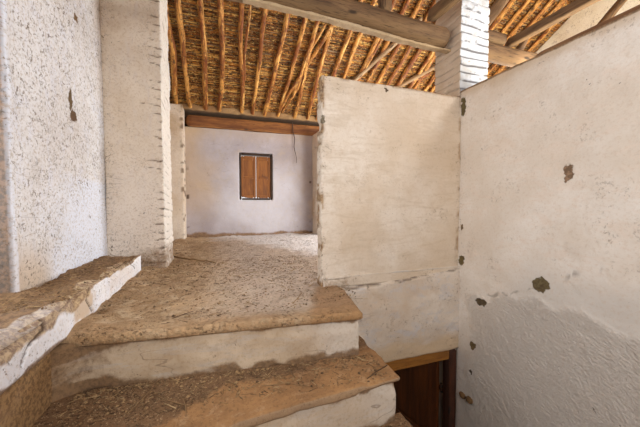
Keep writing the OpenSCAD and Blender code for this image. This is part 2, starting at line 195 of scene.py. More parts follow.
def trowelled(points, normals):
    # Plaster put on by hand: slow swells, trowel waves and a fine grain
    return (0.006 * rough(points, 0.6, 2, 11) + 0.0028 * rough(points, 0.17, 2, 23)
            + 0.0012 * rough(points, 0.05, 2, 31))


outerFace = {"x": 3.50, "y": 3.62}  # how far from the middle the outer faces begin


def masonry(name, boxes, material, holes=(), step=0.1, fine=None, soften=3, relief=trowelled, shape=None,
            replaced=None, marks=None, mirrored=False):
    # A wall, floor or step: boxes less holes, with rounded arrises and the plaster's relief laid on
    steps = step if isinstance(step, tuple) else (step,) * 3
    points, quads = cellSurface(boxes, holes, steps, fine or {})
    points = relax(points, quads, soften)
    normals = pointNormals(points, quads)
    extra = {key: mark(points, normals) for key, mark in (marks or {}).items()}
    beyond = np.maximum(np.abs(points[:, 0]) - outerFace["x"], np.abs(points[:, 1]) - outerFace["y"])
    extra["outside"] = (beyond > 0) * 1.0
    points = points + normals * relief(points, normals)[:, None]
    if shape:
        points = shape(points)
    if mirrored:
        points, quads = points * [1, -1, 1], quads[:, ::-1]
    replaced = replaced or [name]
    addPiece(name + "Skin", points, quads.tolist(), material, replaced, "house", extra)


def sweep(paths, width, height, power, sides, up, wear=None, roundEnd=0.0):
    # Carries a rounded section along each path: its half width and half height follow the path, and a
    # power of 2 gives a round log, a higher one a squared timber
    paths = np.asarray(paths, float)
    many, rings = paths.shape[:2]
    width = np.broadcast_to(np.asarray(width, float), (many, rings))
    height = np.broadcast_to(np.asarray(height, float), (many, rings))
    ahead = np.gradient(paths, axis=1)
    ahead = ahead / np.linalg.norm(ahead, axis=2, keepdims=True)
    side = np.cross(ahead, np.array(up, float))
    side /= np.linalg.norm(side, axis=2, keepdims=True)
    top = np.cross(side, ahead)
    gone = np.linalg.norm(np.diff(paths, axis=1), axis=2)
    gone = np.concatenate([np.zeros((many, 1)), np.cumsum(gone, axis=1)], axis=1)
    if roundEnd:
        toEnd = np.minimum(gone, gone[:, -1:] - gone)
        shrink = np.sqrt(np.clip(1 - (1 - np.clip(toEnd / roundEnd, 0, 1)) ** 2, 0.12, 1))
        width, height = width * shrink, height * shrink
    angle = np.linspace(0, 2 * np.pi, sides, endpoint=False) + np.pi / sides
    c, s = np.cos(angle), np.sin(angle)
    across = width[:, :, None] * np.sign(c) * np.abs(c) ** (2 / power)
    upwards = height[:, :, None] * np.sign(s) * np.abs(s) ** (2 / power)
    grain = np.stack([np.broadcast_to(gone[:, :, None], across.shape), across, upwards], axis=3)
    grain = grain + chance.uniform(0, 9, (many, 1, 1, 3))
    if wear is not None:
        factor = 1 + wear(grain.reshape(-1, 3)).reshape(across.shape)
        across, upwards = across * factor, upwards * factor
    points = paths[:, :, None, :] + side[:, :, None, :] * across[..., None]
    points = points + top[:, :, None, :] * upwards[..., None]
    ids = np.arange(many * rings * sides).reshape(many, rings, sides)
    turned = np.roll(ids, -1, axis=2)
    quads = np.stack([ids[:, :-1], ids[:, 1:], turned[:, 1:], turned[:, :-1]], axis=3).reshape(-1, 4)
    middles = many * rings * sides + np.arange(many * 2).reshape(many, 2)
    startFan = np.stack([np.broadcast_to(middles[:, :1], ids[:, 0].shape), ids[:, 0], turned[:, 0]], axis=2)
    endFan = np.stack([np.broadcast_to(middles[:, 1:], ids[:, -1].shape), turned[:, -1], ids[:, -1]], axis=2)
    allPoints = np.concatenate([points.reshape(-1, 3), paths[:, [0, -1]].reshape(-1, 3)])
    allGrain = np.concatenate([grain.reshape(-1, 3), grain[:, [0, -1]].mean(axis=2).reshape(-1, 3)])
    tone = chance.uniform(0, 1, many)
    allTone = np.concatenate([np.repeat(tone, rings * sides), np.repeat(tone, 2)])
    faces = quads.tolist() + startFan.reshape(-1, 3).tolist() + endFan.reshape(-1, 3).tolist()
    return allPoints, faces, {"grain": allGrain, "tone": allTone}


def joined(parts):
    # Puts several sets of points and faces into one mesh
    points, faces, extra, base = [], [], {}, 0
    for somePoints, someFaces, someExtra in parts:
        points.append(somePoints)
        faces.extend([[i + base for i in face] for face in someFaces])
        for key, values in someExtra.items():
            extra.setdefault(key, []).append(values)
        base += len(somePoints)
    return np.concatenate(points), faces, {key: np.concatenate(v) for key, v in extra.items()}


# Shader maths

class Field:
    def __init__(self, paint, socket):
        self.paint = paint
        self.socket = socket

    def maths(self, operation, *others):
        return self.paint.node("ShaderNodeMath", {"operation": operation}, dict(enumerate([self, *others])))

    def __add__(self, other):
        return self.maths("ADD", other)

    def __sub__(self, other):
        return self.maths("SUBTRACT", other)

    def __mul__(self, other):
        return self.maths("MULTIPLY", other)

    def __radd__(self, other):
        return self + other

    def __rmul__(self, other):
        return self * other

    def __rsub__(self, other):
        return self.paint.node("ShaderNodeMath", {"operation": "SUBTRACT"}, {0: other, 1: self})

    def size(self):
        return self.maths("ABSOLUTE")

    def between(self, low, high):
        # 0 at low, 1 at high, a smooth step between
        values = {"Value": self, "From Min": low, "From Max": high}
        return self.paint.node("ShaderNodeMapRange", {"interpolation_type": "SMOOTHSTEP"}, values)


class Paint:
    def __init__(self, name, roughness=0.9):
        self.material = bpy.data.materials.new(name)
        self.material.use_nodes = True
        self.tree = self.material.node_tree
        self.shader = self.tree.nodes["Principled BSDF"]
        self.shader.inputs["Roughness"].default_value = roughness
        self.place = self.node("ShaderNodeTexCoord", output="Object")

    def node(self, kind, settings=None, values=None, output=0):
        made = self.tree.nodes.new(kind)
        for key, value in (settings or {}).items():
            if key == "stops":
                self.setStops(made.color_ramp, value)
            else:
                setattr(made, key, value)
        for key, value in (values or {}).items():
            if isinstance(value, Field):
                self.tree.links.new(value.socket, made.inputs[key])
            else:
                made.inputs[key].default_value = value
        return Field(self, made.outputs[output])

    def setStops(self, ramp, stops):
        while len(ramp.elements) < len(stops):
            ramp.elements.new(0.5)
        for element, (where, colour) in zip(ramp.elements, stops):
            element.position = where
            element.color = (*shade(colour), 1)

    def attribute(self, name, output="Fac"):
        return self.node("ShaderNodeAttribute", {"attribute_name": name}, output=output)

    def vector(self, operation, first, second, output=0):
        return self.node("ShaderNodeVectorMath", {"operation": operation}, {0: first, 1: second}, output)

    def stretched(self, place, factors):
        return self.vector("MULTIPLY", place, factors)

    def shaken(self, scale, amount):
        # The position, moved about by a noise so that a line or an edge drawn from it wanders
        values = {"Vector": self.place, "Scale": scale, "Detail": 3.0}
        wander = self.vector("SUBTRACT", self.node("ShaderNodeTexNoise", None, values, "Color"), (0.5, 0.5, 0.5))
        return self.vector("ADD", self.place, self.stretched(wander, (amount, amount, amount)))

    def noise(self, scale, detail=3.0, roughness=0.55, place=None, distortion=0.0):
        values = {"Vector": place or self.place, "Scale": scale, "Detail": detail, "Roughness": roughness,
                  "Distortion": distortion}
        return self.node("ShaderNodeTexNoise", None, values)

    def hairlines(self, scale, width, place=None):
        # Thin wandering lines, where a noise passes through its middle value
        return (self.noise(scale, 3, 0.55, place, 0.1) - 0.5).size().between(width, width * 0.3)

    def swung(self, degrees):
        # The position turned about X, so that a pattern can run aslant on a wall that faces along X
        values = {"Vector": self.place, "Angle": math.radians(degrees)}
        return self.node("ShaderNodeVectorRotate", {"rotation_type": "X_AXIS"}, values)

    def cells(self, scale, place=None):
        return self.node("ShaderNodeTexVoronoi", None, {"Vector": place or self.place, "Scale": scale})

    def axis(self, name, place=None):
        return self.node("ShaderNodeSeparateXYZ", None, {0: place or self.place}, output="XYZ".index(name))

    def facing(self, name):
        return self.axis(name, self.node("ShaderNodeNewGeometry", output="Normal"))

    def mix(self, factor, first, second, blend="MIX"):
        settings = {"data_type": "RGBA", "blend_type": blend}
        first, second = [c if isinstance(c, Field) else (*shade(c), 1) for c in (first, second)]
        return self.node("ShaderNodeMix", settings, {0: factor, 6: first, 7: second}, output=2)

    def ramp(self, value, stops):
        return self.node("ShaderNodeValToRGB", {"stops": stops}, {0: value})

    def near(self, place, centre, radius):
        # 1 within a point's radius along X, Y and Z, 0 outside it, with a hard edge
        moved = self.stretched(self.vector("SUBTRACT", place, centre), [1 / r for r in radius])
        reach = self.node("ShaderNodeVectorMath", {"operation": "LENGTH"}, {0: moved}, output="Value")
        return reach.between(1.0, 0.8)

    def finish(self, colour=None, roughness=None, height=None, depth=0.002, strength=1.0):
        if colour is not None:
            self.tree.links.new(colour.socket, self.shader.inputs["Base Color"])
        if roughness is not None:
            self.tree.links.new(roughness.socket, self.shader.inputs["Roughness"])
        if height is not None:
            bump = self.node("ShaderNodeBump", None, {"Height": height, "Distance": depth, "Strength": strength})
            self.tree.links.new(bump.socket, self.shader.inputs["Normal"])
        return self.material


def shade(code):
    # A colour written as six hex digits, turned from display values to the linear ones that a shader takes
    parts = [int(code[k:k + 2], 16) / 255 for k in (0, 2, 4)]
    return tuple(p / 12.92 if p <= 0.04045 else ((p + 0.055) / 1.055) ** 2.4 for p in parts)


# Plaster

plainPlaster = {"stained": 0.3, "specks": 0.5, "speckScale": 60, "spread": 0.0, "pit": "8a7460",
                "wash": "e4e0da", "washed": 0.3, "brush": (1, 1, 1), "cracked": 0.3, "soft": (0.22, 0.62),
                "dirtColour": "96744e", "coolColour": "e9ebf4", "bareColour": "b09472", "mottled": 0.25,
                # warmColour also serves as painted shade on the partition's right part
                "warmColour": "c8ae8c",
                # jointColour also paints the shadow in the eave course's slot and along the end wall's proud
                # plaster
                "jointColour": "513e2d", "chips": []}
plaster = {
    "leftWall": {"light": "ebecef", "dark": "dcd9d8", "wash": "e2e6f3", "washed": 0.5, "brush": (1, 1.4, 0.6),
                 "stain": "b8ab9c", "stained": 0.3, "specks": 0.72, "spread": 0.06, "pit": "7c6b58",
                 # coolColour here paints the skylight patch and the arris highlight: painted light
                 "coolColour": "e6edfb", "mottled": 0.75, "bareColour": "5a4834", "outside": "outer",
                 "chips": [((-3.125, 0.43, 4.39), (0.05, 0.035, 0.032), "8a6c48"),
                           ((-3.125, 0.318, 3.79), (0.05, 0.028, 0.078), "6f5a3c"),
                           ((-3.125, 0.345, 3.69), (0.05, 0.055, 0.042), "6e5138")]},
    "leftBase": {"light": "c4a984", "dark": "a38361", "wash": "b39c7a", "stain": "86684a", "stained": 0.5,
                 "mottled": 0.3, "cracked": 0.6, "dirtColour": "a38156", "outside": "base"},
    "kerb": {"light": "fafcff", "dark": "eaedf6", "wash": "e6e4e6", "washed": 0.45, "brush": (2, 2, 0.8),
             "stain": "c9ac88", "stained": 0.3, "specks": 0.65, "spread": 0.0, "pit": "6d5640", "cracked": 0.5,
             "dirtColour": "8d6c48", "bareColour": "c2a983"},
    "pier": {"light": "e9dccb", "dark": "d5c2ab", "wash": "dcd0c6", "washed": 0.55, "brush": (2, 2, 0.5),
             "stain": "b8986f", "stained": 0.6, "specks": 0.4, "spread": -0.03, "pit": "6f563e",
             # coolColour here paints the pier's right face whiter than its shaded front: painted light
             "coolColour": "ece8e0", "mottled": 0.4, "cracked": 0.7, "jointColour": "6a5038"},
    "partition": {"light": "e3d8ca", "dark": "d0bea8", "wash": "c2b099", "washed": 0.45, "brush": (0.5, 1, 2.6),
                  "stain": "b99d7a", "stained": 0.28, "specks": 0.5, "spread": -0.09, "pit": "7d6549",
                  "cracked": 0.08, "chips": [((-1.51, -0.15, 3.69), (0.035, 0.05, 0.045), "857a66"),
                                            ((-0.999, -0.15, 3.95), (0.025, 0.05, 0.010), "5c4a38")]},
    "endWall": {"light": "dfd3c4", "dark": "c9b9a7", "wash": "bfbdc0", "washed": 0.55, "brush": (0.7, 1, 1.8),
                "stain": "c3a583", "stained": 0.45, "specks": 0.6, "spread": -0.05, "cracked": 0.15},
    "rightWall": {"light": "f4ede4", "dark": "e4d8c9", "wash": "ecdccc", "washed": 0.5, "brush": (1, 0.7, 1.6),
                  "stain": "cbb194", "stained": 0.25, "specks": 0.4, "spread": -0.10, "pit": "7a6248",
                  "cracked": 0.08, "aslant": -35, "coolColour": "dad4cc",
                  "chips": [((-0.275, -0.953, 3.269), (0.05, 0.027, 0.066), "a08268"),
                            ((-0.275, -0.816, 2.575), (0.05, 0.052, 0.05), "746848"),
                            ((-0.275, -0.379, 2.317), (0.05, 0.048, 0.032), "6a5a40"),
                            ((-0.275, -0.183, 2.614), (0.05, 0.035, 0.05), "75663f"),
                            ((-0.275, -0.178, 3.888), (0.05, 0.03, 0.085), "6e6440"),
                            ((-0.275, -0.314, 1.935), (0.05, 0.028, 0.040), "7c6640"),
                            ((-0.275, -0.30, 1.72), (0.05, 0.014, 0.018), "5a4c3a"),
                            ((-0.275, -0.175, 2.89), (0.05, 0.02, 0.02), "8a7455")]},
    "backWall": {"light": "bab6bf", "dark": "a9a1a7", "wash": "b2a594", "washed": 0.3, "brush": (1, 1, 0.8),
                 "stain": "cab595", "stained": 0.4, "specks": 0.5, "spread": -0.04, "pit": "8c7a6c",
                 "outside": "outer"},
    "gable": {"light": "f6efdc", "dark": "e8dcc0", "wash": "f0e6cc", "stain": "b59a6c", "stained": 0.5,
              "outside": "outer"},
    "outer": {"light": "ece6da", "dark": "d8ccb8", "stain": "b89a70", "stained": 0.5, "spread": 0.02},
    "base": {"light": "c9b291", "dark": "b09672", "wash": "bda684", "stain": "927452", "stained": 0.5},
    "stone": {"light": "86653e", "dark": "5e4426", "wash": "75572f", "stain": "4c371d"},
    "mortar": {"light": "b59367", "dark": "937049", "wash": "815d37", "stain": "6f4c28", "stained": 0.6,
               "specks": 0.9, "spread": 0.05},
    "riser": {"light": "cdb99f", "dark": "b59f84", "wash": "b5ada4", "washed": 0.5, "brush": (0.5, 1, 2.8),
              "stain": "9c7c54", "stained": 0.7, "specks": 0.4, "spread": -0.07, "pit": "59442f",
              # dirtColour here also paints shade under the nosing and in the left corner
              "cracked": 0.45, "soft": (0.30, 0.75), "mottled": 0.3, "dirtColour": "80603e",
              "coolColour": "ccc4ba"},
}


def plasterPaint(name):
    look = {**plainPlaster, **plaster[name]}
    paint = Paint(name + "Plaster", 0.92)
    keys = ("worn", "dirt", "cool", "warm", "coarse", "joint", "bare")
    worn, dirt, cool, warm, coarse, joint, bare = [paint.attribute(key) for key in keys]
    colour = paint.mix(paint.noise(1.7, 4, 0.6).between(0.35, 0.68), look["light"], look["dark"])
    colour = paint.mix(paint.noise(9, 5, 0.7).between(0.4, 0.7) * 0.4, colour, look["dark"])
    strokes = paint.noise(8, 4, 0.7, paint.stretched(paint.place, look["brush"]), 0.8)
    strokes = strokes.between(0.48, 0.66)
    colour = paint.mix(strokes * look["washed"], colour, look["wash"])
    patch = paint.noise(1.3, 4, 0.7, distortion=0.6).between(0.54, 0.72)
    colour = paint.mix(patch * look["stained"], colour, look["stain"])
    # Warmer tint; on the partition's right part it is painted shade
    colour = paint.mix(warm, colour, look["warmColour"])
    # Cooler tint; on the left wall and on the left pier's right face it is painted light
    colour = paint.mix(cool, colour, look["coolColour"])
    colour = paint.mix(coarse * 0.45, colour, "f2e7db")
    grain = paint.noise(55, 4, 0.75)
    colour = paint.mix(grain.between(0.49, 0.66) * look["mottled"], colour, look["stain"])
    clusters = (paint.noise(5, 4, 0.65) + worn * 0.25 - cool * 0.15 + look["spread"]).between(0.40, 0.60)
    kept = paint.noise(21, 2, 0.6).between(0.42, 0.60)
    pits = (paint.noise(look["speckScale"], 3, 0.75) + kept * 0.05).between(0.60, 0.66)
    pits = pits * clusters * look["specks"]
    colour = paint.mix(pits, colour, look["pit"])
    marks = (paint.noise(27, 3, 0.7, distortion=1.2) + look["spread"] * 0.3 + worn * 0.1).between(0.68, 0.72)
    colour = paint.mix(marks * 0.8, colour, "5f4a35")
    cracks = paint.hairlines(2.4, 0.0035, paint.stretched(paint.place, (0.4, 0.4, 1.8)))
    cracks = cracks * paint.noise(1.3, 2, 0.5).between(0.52, 0.6) * look["cracked"]
    colour = paint.mix(cracks, colour, "6d5843")
    height = paint.noise(6, 4, 0.6) * 1.4 + grain * (0.35 + coarse * 0.5) - pits - cracks * 0.6 - joint
    rubble = paint.noise(45, 4, 0.7).between(0.4, 0.6)
    colour = paint.mix(bare, colour, paint.mix(rubble, look["bareColour"], "84664a"))
    shaken = paint.shaken(28, 0.075) if look["chips"] else None
    for centre, radius, chipColour in look["chips"]:
        chip = paint.near(shaken, centre, radius)
        colour = paint.mix(chip, colour, paint.mix(rubble * 0.6, chipColour, "54412e"))
        height = height - chip * 1.3
    # Dirt; on the risers it is also painted shade under the nosing and in the left corner
    grime = (dirt + paint.noise(10, 5, 0.8) * 0.9 - 0.45).between(*look["soft"])
    earth = paint.mix(grain.between(0.42, 0.6) * 0.8, look["dirtColour"], "5f452d")
    colour = paint.mix(grime * 0.9, colour, earth)
    # Dark joints and cracks; in the eave course's slot and along the end wall's proud plaster this is painted
    # shadow
    colour = paint.mix(joint, colour, look["jointColour"])
    if "outside" in look:
        outer = {**plainPlaster, **plaster[look["outside"]]}
        plain = paint.mix(paint.noise(1.7, 4, 0.6).between(0.35, 0.68), outer["light"], outer["dark"])
        plain = paint.mix(patch * outer["stained"], plain, outer["stain"])
        colour = paint.mix(paint.attribute("outside"), colour, plain)
    if "aslant" in look:
        drags = paint.noise(88, 4, 0.7, paint.stretched(paint.swung(look["aslant"]), (1, 0.5, 1)), 0.2)
        height = height + drags * coarse * 7.0
    return paint.finish(colour, None, height - bare * 0.5, 0.006, 0.75)


paints = {name: plasterPaint(name) for name in plaster}


# Earth and masonry

def floorPaint(name):
    paint = Paint(name, 0.97)
    fresh = paint.attribute("fresh")
    colour = paint.mix(paint.noise(2.2, 5, 0.65).between(0.35, 0.65), "c6a57e", "a3825c")
    dust = paint.noise(11, 5, 0.75).between(0.46, 0.66)
    colour = paint.mix(dust * 0.7, colour, "d6bd9c")
    # Painted light: a pale patch where light falls on the floor
    colour = paint.mix(fresh * 0.9, colour, "f2efee")
    # Painted shadow in the corner by the partition, and a darker band along the nosing
    colour = paint.mix(paint.attribute("shade"), colour, "a97f52")
    straw = paint.noise(60, 3, 0.8, paint.stretched(paint.place, (1, 2.6, 1)), 1.2).between(0.55, 0.62)
    colour = paint.mix(straw * 0.5, colour, "c4a97f")
    clumps = paint.noise(7, 3, 0.6, paint.stretched(paint.place, (1, 2, 1))).between(0.42, 0.62)
    holes = paint.noise(50, 4, 0.8, distortion=0.2).between(0.53, 0.63) * (0.15 + clumps * 0.75)
    colour = paint.mix(holes, colour, "654b31")
    height = paint.noise(22, 5, 0.7) + paint.noise(110, 3, 0.7) * 0.7 + straw * 0.4 - holes * 0.6
    return paint.finish(colour, None, height, 0.009, 1.0)


def treadPaint():
    paint = Paint("treadEarth", 0.93)
    dirt = paint.attribute("dirt")
    colour = paint.mix(paint.noise(3, 5, 0.65).between(0.35, 0.65), "ad8254", "8c6743")
    colour = paint.mix(paint.noise(16, 4, 0.7).between(0.52, 0.7) * 0.5, colour, "bd9c76")
    edge = paint.facing("Z").between(0.75, 0.35)
    colour = paint.mix(edge * 0.6, colour, "a08a70")
    grime = (dirt + paint.noise(9, 5, 0.8) * 1.1 - 0.55).between(0.25, 0.6)
    colour = paint.mix(grime * 0.85, colour, "70543a")
    crumbs = paint.noise(75, 4, 0.8).between(0.54, 0.62) * (0.3 + dirt * 0.65)
    colour = paint.mix(crumbs, colour, "4b3723")
    pale = paint.noise(90, 3, 0.8, distortion=0.8).between(0.58, 0.63) * (0.15 + dirt * 0.5)
    colour = paint.mix(pale, colour, "c2a67e")
    height = paint.noise(18, 5, 0.7) + paint.noise(90, 3, 0.7) * 0.4 + grime * 0.5 - crumbs * 0.4
    return paint.finish(colour, None, height, 0.006, 0.9)


def brickPaint():
    paint = Paint("whiteBrick", 0.9)
    joint = paint.attribute("joint")
    colour = paint.mix(paint.noise(6, 4, 0.6).between(0.4, 0.65), "eeebe8", "d8cfc4")
    colour = paint.mix(paint.noise(22, 4, 0.75).between(0.60, 0.68) * 0.6, colour, "a88a68")
    speck = paint.noise(60, 3, 0.8).between(0.60, 0.66)
    colour = paint.mix(speck * 0.5, colour, "857566")
    # The front face is tinted blue: painted skylight
    colour = paint.mix(paint.facing("Y").between(-0.4, -0.8) * 0.75, colour, "d2e0f2", "MULTIPLY")
    # The left face is painted beige-brown: painted shade
    colour = paint.mix(paint.facing("X").between(-0.4, -0.8) * 0.75, colour, "c8ad8c")
    colour = paint.mix(joint, colour, "4a4444")
    return paint.finish(colour, None, paint.noise(45, 4, 0.7) - joint, 0.004, 0.8)


# Wood

wood = {
    "greyWood": {"light": "866848", "dark": "543d29", "line": "23180f", "rough": 0.85, "stain": "6c4e32",
                 "undersideTint": "94764f", "lined": 0.50},
    "palePole": {"light": "b79c7a", "dark": "8c6f4e", "line": "4a3422", "rough": 0.75, "stain": "9c7c58"},
    "brownWood": {"light": "a3805a", "dark": "6b4c32", "line": "33231a", "rough": 0.8, "stain": "8a5a36"},
    "shutterWood": {"light": "945a1d", "dark": "744113", "line": "5b3410", "rough": 0.6, "stain": "9a5f22"},
    "frameWood": {"light": "a26a26", "dark": "7a4c18", "line": "46290c", "rough": 0.65, "stain": "8a5a20"},
    "doorWood": {"light": "6e3a14", "dark": "472208", "line": "221106", "rough": 0.5, "stain": "5c3014"},
    # A darker copy of the frame's wood for the right jamb: painted shade
    "shadedJambWood": {"light": "4a2814", "dark": "2c170b", "line": "160b05", "rough": 0.6, "stain": "5a2a12"},
    "darkWood": {"light": "4c382a", "dark": "2e2119", "line": "1a120c", "rough": 0.8, "stain": "3c2a1c"},
    "plateWood": {"light": "99632f", "dark": "683b1a", "line": "301c10", "rough": 0.75, "stain": "84532f",
                  "undersideTint": "ab7a44", "lined": 0.53},
    "joistWood": {"light": "8f7152", "dark": "5e432c", "line": "33231a", "rough": 0.8, "stain": "6a4a30"},
    "poleWood": {"light": "eaae5a", "dark": "a86628", "line": "331a09", "rough": 0.55, "stain": "c48637",
                 "bark": "7a3a10"},
}


def woodPaint(name):
    look = wood[name]
    paint = Paint(name, look["rough"])
    place = paint.attribute("grain", "Vector")
    if name == "joistWood":  # a node as it is has no grain of its own, so its grain runs along Y
        place = paint.stretched(paint.place, (12, 0.08, 12))
    tone = paint.attribute("tone")
    fibres = paint.noise(4.5, 5, 0.65, paint.stretched(place, (2.0, 24, 24)), 0.3)
    broad = paint.noise(1.6, 3, 0.6, paint.stretched(place, (1.2, 10, 10)), 0.5)
    colour = paint.mix(broad.between(0.32, 0.7), look["light"], look["dark"])
    colour = paint.mix(tone * 0.4, colour, look["stain"])
    patches = paint.noise(3.0, 4, 0.7, paint.stretched(place, (1.0, 3, 3))).between(0.5, 0.68)
    colour = paint.mix(patches * 0.5, colour, look["dark"])
    height = fibres * -1.0 + broad * 0.5
    # Faces that look down take a paler colour
    if "undersideTint" in look:
        colour = paint.mix(paint.facing("Z").between(-0.1, -0.8) * 0.45, colour, look["undersideTint"])
    if "bark" in look:
        bark = (paint.noise(2.6, 4, 0.75, paint.stretched(place, (1.0, 5, 5))) + tone * 0.12)
        bark = bark.between(0.53, 0.60)
        gilt = paint.noise(5, 4, 0.75, paint.stretched(place, (1.0, 6, 6))).between(0.54, 0.62)
        colour = paint.mix(gilt * 0.7, colour, "f6cb7c")
        rings = paint.noise(9, 3, 0.7, paint.stretched(place, (3.0, 2, 2)), 1.0).between(0.55, 0.62)
        colour = paint.mix(bark * 0.85, colour, look["bark"])
        colour = paint.mix(rings * 0.6, colour, look["line"])
        height = height + bark * 1.2 - rings * 0.8
    lines = fibres.between(look.get("lined", 0.57), 0.70)
    colour = paint.mix(lines * 0.8, colour, look["line"])
    knots = paint.cells(3.0, paint.stretched(place, (1.0, 3.2, 3.2))).between(0.16, 0.06)
    colour = paint.mix(knots * 0.85, colour, look["line"])
    return paint.finish(colour, None, height + knots * 0.6, 0.004, 0.9)


def canePaint():
    paint = Paint("cane", 0.6)
    place = paint.attribute("grain", "Vector")
    stops = [(0.0, "5a300c"), (0.45, "9c5c1c"), (0.78, "d08e3a"), (1.0, "efc26c")]
    colour = paint.ramp(paint.attribute("tone"), stops)
    # Pale flecks along each cane: painted highlights
    highlightFlecks = paint.noise(3.0, 4, 0.75, paint.stretched(place, (11, 16, 16))).between(0.54, 0.60)
    colour = paint.mix(highlightFlecks * 0.85, colour, "f6d282")
    dark = paint.noise(2.0, 3, 0.7, paint.stretched(place, (9, 5, 5))).between(0.50, 0.60)
    colour = paint.mix(dark * 0.85, colour, "38200a")
    return paint.finish(colour, None, highlightFlecks - dark, 0.003, 0.7)


def tilePaint():
    paint = Paint("clayTile", 0.85)
    stops = [(0.0, "9c5436"), (0.5, "b66a45"), (1.0, "cf9069")]
    colour = paint.ramp(paint.attribute("tone"), stops)
    colour = paint.mix(paint.noise(5, 5, 0.7).between(0.55, 0.68) * 0.6, colour, "8d8468")
    colour = paint.mix(paint.noise(1.5, 4, 0.6).between(0.5, 0.7) * 0.4, colour, "5c4436")
    return paint.finish(colour, None, paint.noise(40, 4, 0.7), 0.002, 0.7)


def ironPaint():
    paint = Paint("oldIron", 0.6)
    colour = paint.mix(paint.noise(60, 4, 0.7).between(0.4, 0.65), "2c2622", "6a3f26")
    paint.shader.inputs["Metallic"].default_value = 0.6
    return paint.finish(colour, None, paint.noise(120, 3, 0.6), 0.001, 0.5)


def litterPaint():
    paint = Paint("straw", 0.85)
    stops = [(0.0, "4a3521"), (0.4, "846645"), (0.8, "a98a60"), (1.0, "baa077")]
    return paint.finish(paint.ramp(paint.attribute("tone"), stops))


paints.update({"floor": floorPaint("earthFloor"), "bedEarth": floorPaint("bedEarth"), "tread": treadPaint(),
               "brick": brickPaint(), "cane": canePaint(), "tile": tilePaint(), "iron": ironPaint(),
               "litter": litterPaint()})
paints.update({name: woodPaint(name) for name in wood})
print("materials made")


# Left wall with its kerb and pier

roofPitch = math.radians(30)
roofSlope = math.tan(roofPitch)  # fall for each metre along Y
roofRise = 1 / math.cos(roofPitch)  # upright height of a layer one metre thick on the slope
poleDepth, wallLift, floorZ = 0.0763, 0.088, 2.5
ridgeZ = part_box("left_wall_back")[1].z - poleDepth * roofRise
leftX, kerbX, stairX, wellX = -3.125, -2.835, -2.875, -0.275


def corners(name):
    # A node's box as two lists
    low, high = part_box(name)
    return [list(low), list(high)]


def underRoof(name, lift):
    # Presses a wall's level top down to the two slopes, a height above the poles' undersides
    low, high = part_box(name)

    def shape(points):
        top = ridgeZ + lift - np.abs(points[:, 1]) * roofSlope
        share = (points[:, 2] - low.z) / (high.z - low.z)
        return np.column_stack([points[:, :2], low.z + share * (top - low.z)])
    return shape


def wall(name, paint, boxes=None, **options):
    return masonry(name, boxes or [corners(name)], paints[paint], **options)


def leftPaintedLight(points, normals):
    # Painted light: the smooth bluish patch of skylight low on the left wall, right of a curve and under the pits,
    # and a painted highlight along the doorway's arris
    edge = np.interp(points[:, 2], [2.7, 3.02, 3.17, 3.32, 3.40], [0.06, 0.03, 0.15, 0.32, 0.88])
    ragged = points[:, 1] + 0.12 * rough(points, 0.2, 4, 45)
    patch = ease(ragged, edge - 0.20, edge + 0.28) * (points[:, 1] < 1.2)
    arris = ease(points[:, 1] + 0.012 * rough(points, 0.2, 2, 40), -0.268, -0.282)
    arris = arris * ease(points[:, 1], -0.32, -0.30)
    return 0.9 * np.maximum(patch, 0.7 * arris) * (points[:, 0] > -3.3)


def leftWarm(points, normals):
    # Earth colour soaks up from the kerb, most of it near the doorway
    low = ease(points[:, 2] + 0.1 * rough(points, 0.25, 3, 46), 3.05, 2.62)
    upper = 0.35 * ease(points[:, 2], 3.9, 4.5) * ease(points[:, 1], 0.6, 0.86)
    return (0.75 * low * ease(points[:, 1], 0.12, -0.05) + upper) * (points[:, 0] > -3.3)


def leftRelief(points, normals):
    # The doorway's arris swells out where the coats of wash are thickest
    swell = np.exp(-((points[:, 1] + 0.275) / 0.028) ** 2) * ease(points[:, 0], leftX - 0.1, leftX - 0.01)
    return trowelled(points, normals) + 0.010 * swell * (0.7 + 0.5 * rough(points, 0.2, 2, 47))


def leftLowDarkening(points, normals):
    # Darker low down, and more of it towards the stair
    low = 0.5 * ease(points[:, 2], 2.45, 2.1)
    near = 0.6 * ease(points[:, 1] + 0.3 * rough(points, 0.3, 3, 39), -1.3, -0.7)
    return (low + near) * (points[:, 0] > -3.2)


wall("left_wall_base", "leftBase", step=(0.25, 0.14, 0.12),
     boxes=[[[-3.575, -3.7, 0], [stairX, 3.7, 2.34]], [[leftX, -3.25, 2.34], [stairX, 3.25, 2.5]]],
     fine={"y": [(-2.2, -0.4, 0.03)], "z": [(1.6, 2.5, 0.03)]},
     marks={"dirt": leftLowDarkening})
wall("left_wall_back", "leftWall", step=(0.25, 0.16, 0.12), shape=underRoof("left_wall_back", wallLift),
     relief=leftRelief, fine={"y": [(-0.4, 0.95, 0.016)], "z": [(2.5, 4.9, 0.02)]},
     marks={"cool": leftPaintedLight, "warm": leftWarm, "worn": lambda p, n: 0.25 * ease(p[:, 2], 2.9, 3.4),
            "bare": lambda p, n: 0.9 * ease(-n[:, 1], 0.3, 0.6) * ease(p[:, 0], leftX + 0.004, leftX - 0.010)})
wall("left_wall_front", "leftWall", step=(0.25, 0.12, 0.12), shape=underRoof("left_wall_front", wallLift))
wall("left_wall_over", "leftWall", step=(0.25, 0.12, 0.12), shape=underRoof("left_wall_over", wallLift))

# Cracks in the kerb's face, as places along Y and Z
kerbCracks = [[(-0.264, 2.676), (-0.315, 2.608), (-0.249, 2.527)],
              [(-0.662, 2.653), (-0.661, 2.609), (-0.731, 2.597), (-0.772, 2.59), (-0.81, 2.545)],
              [(0.47, 2.65), (0.50, 2.61), (0.53, 2.585)]]


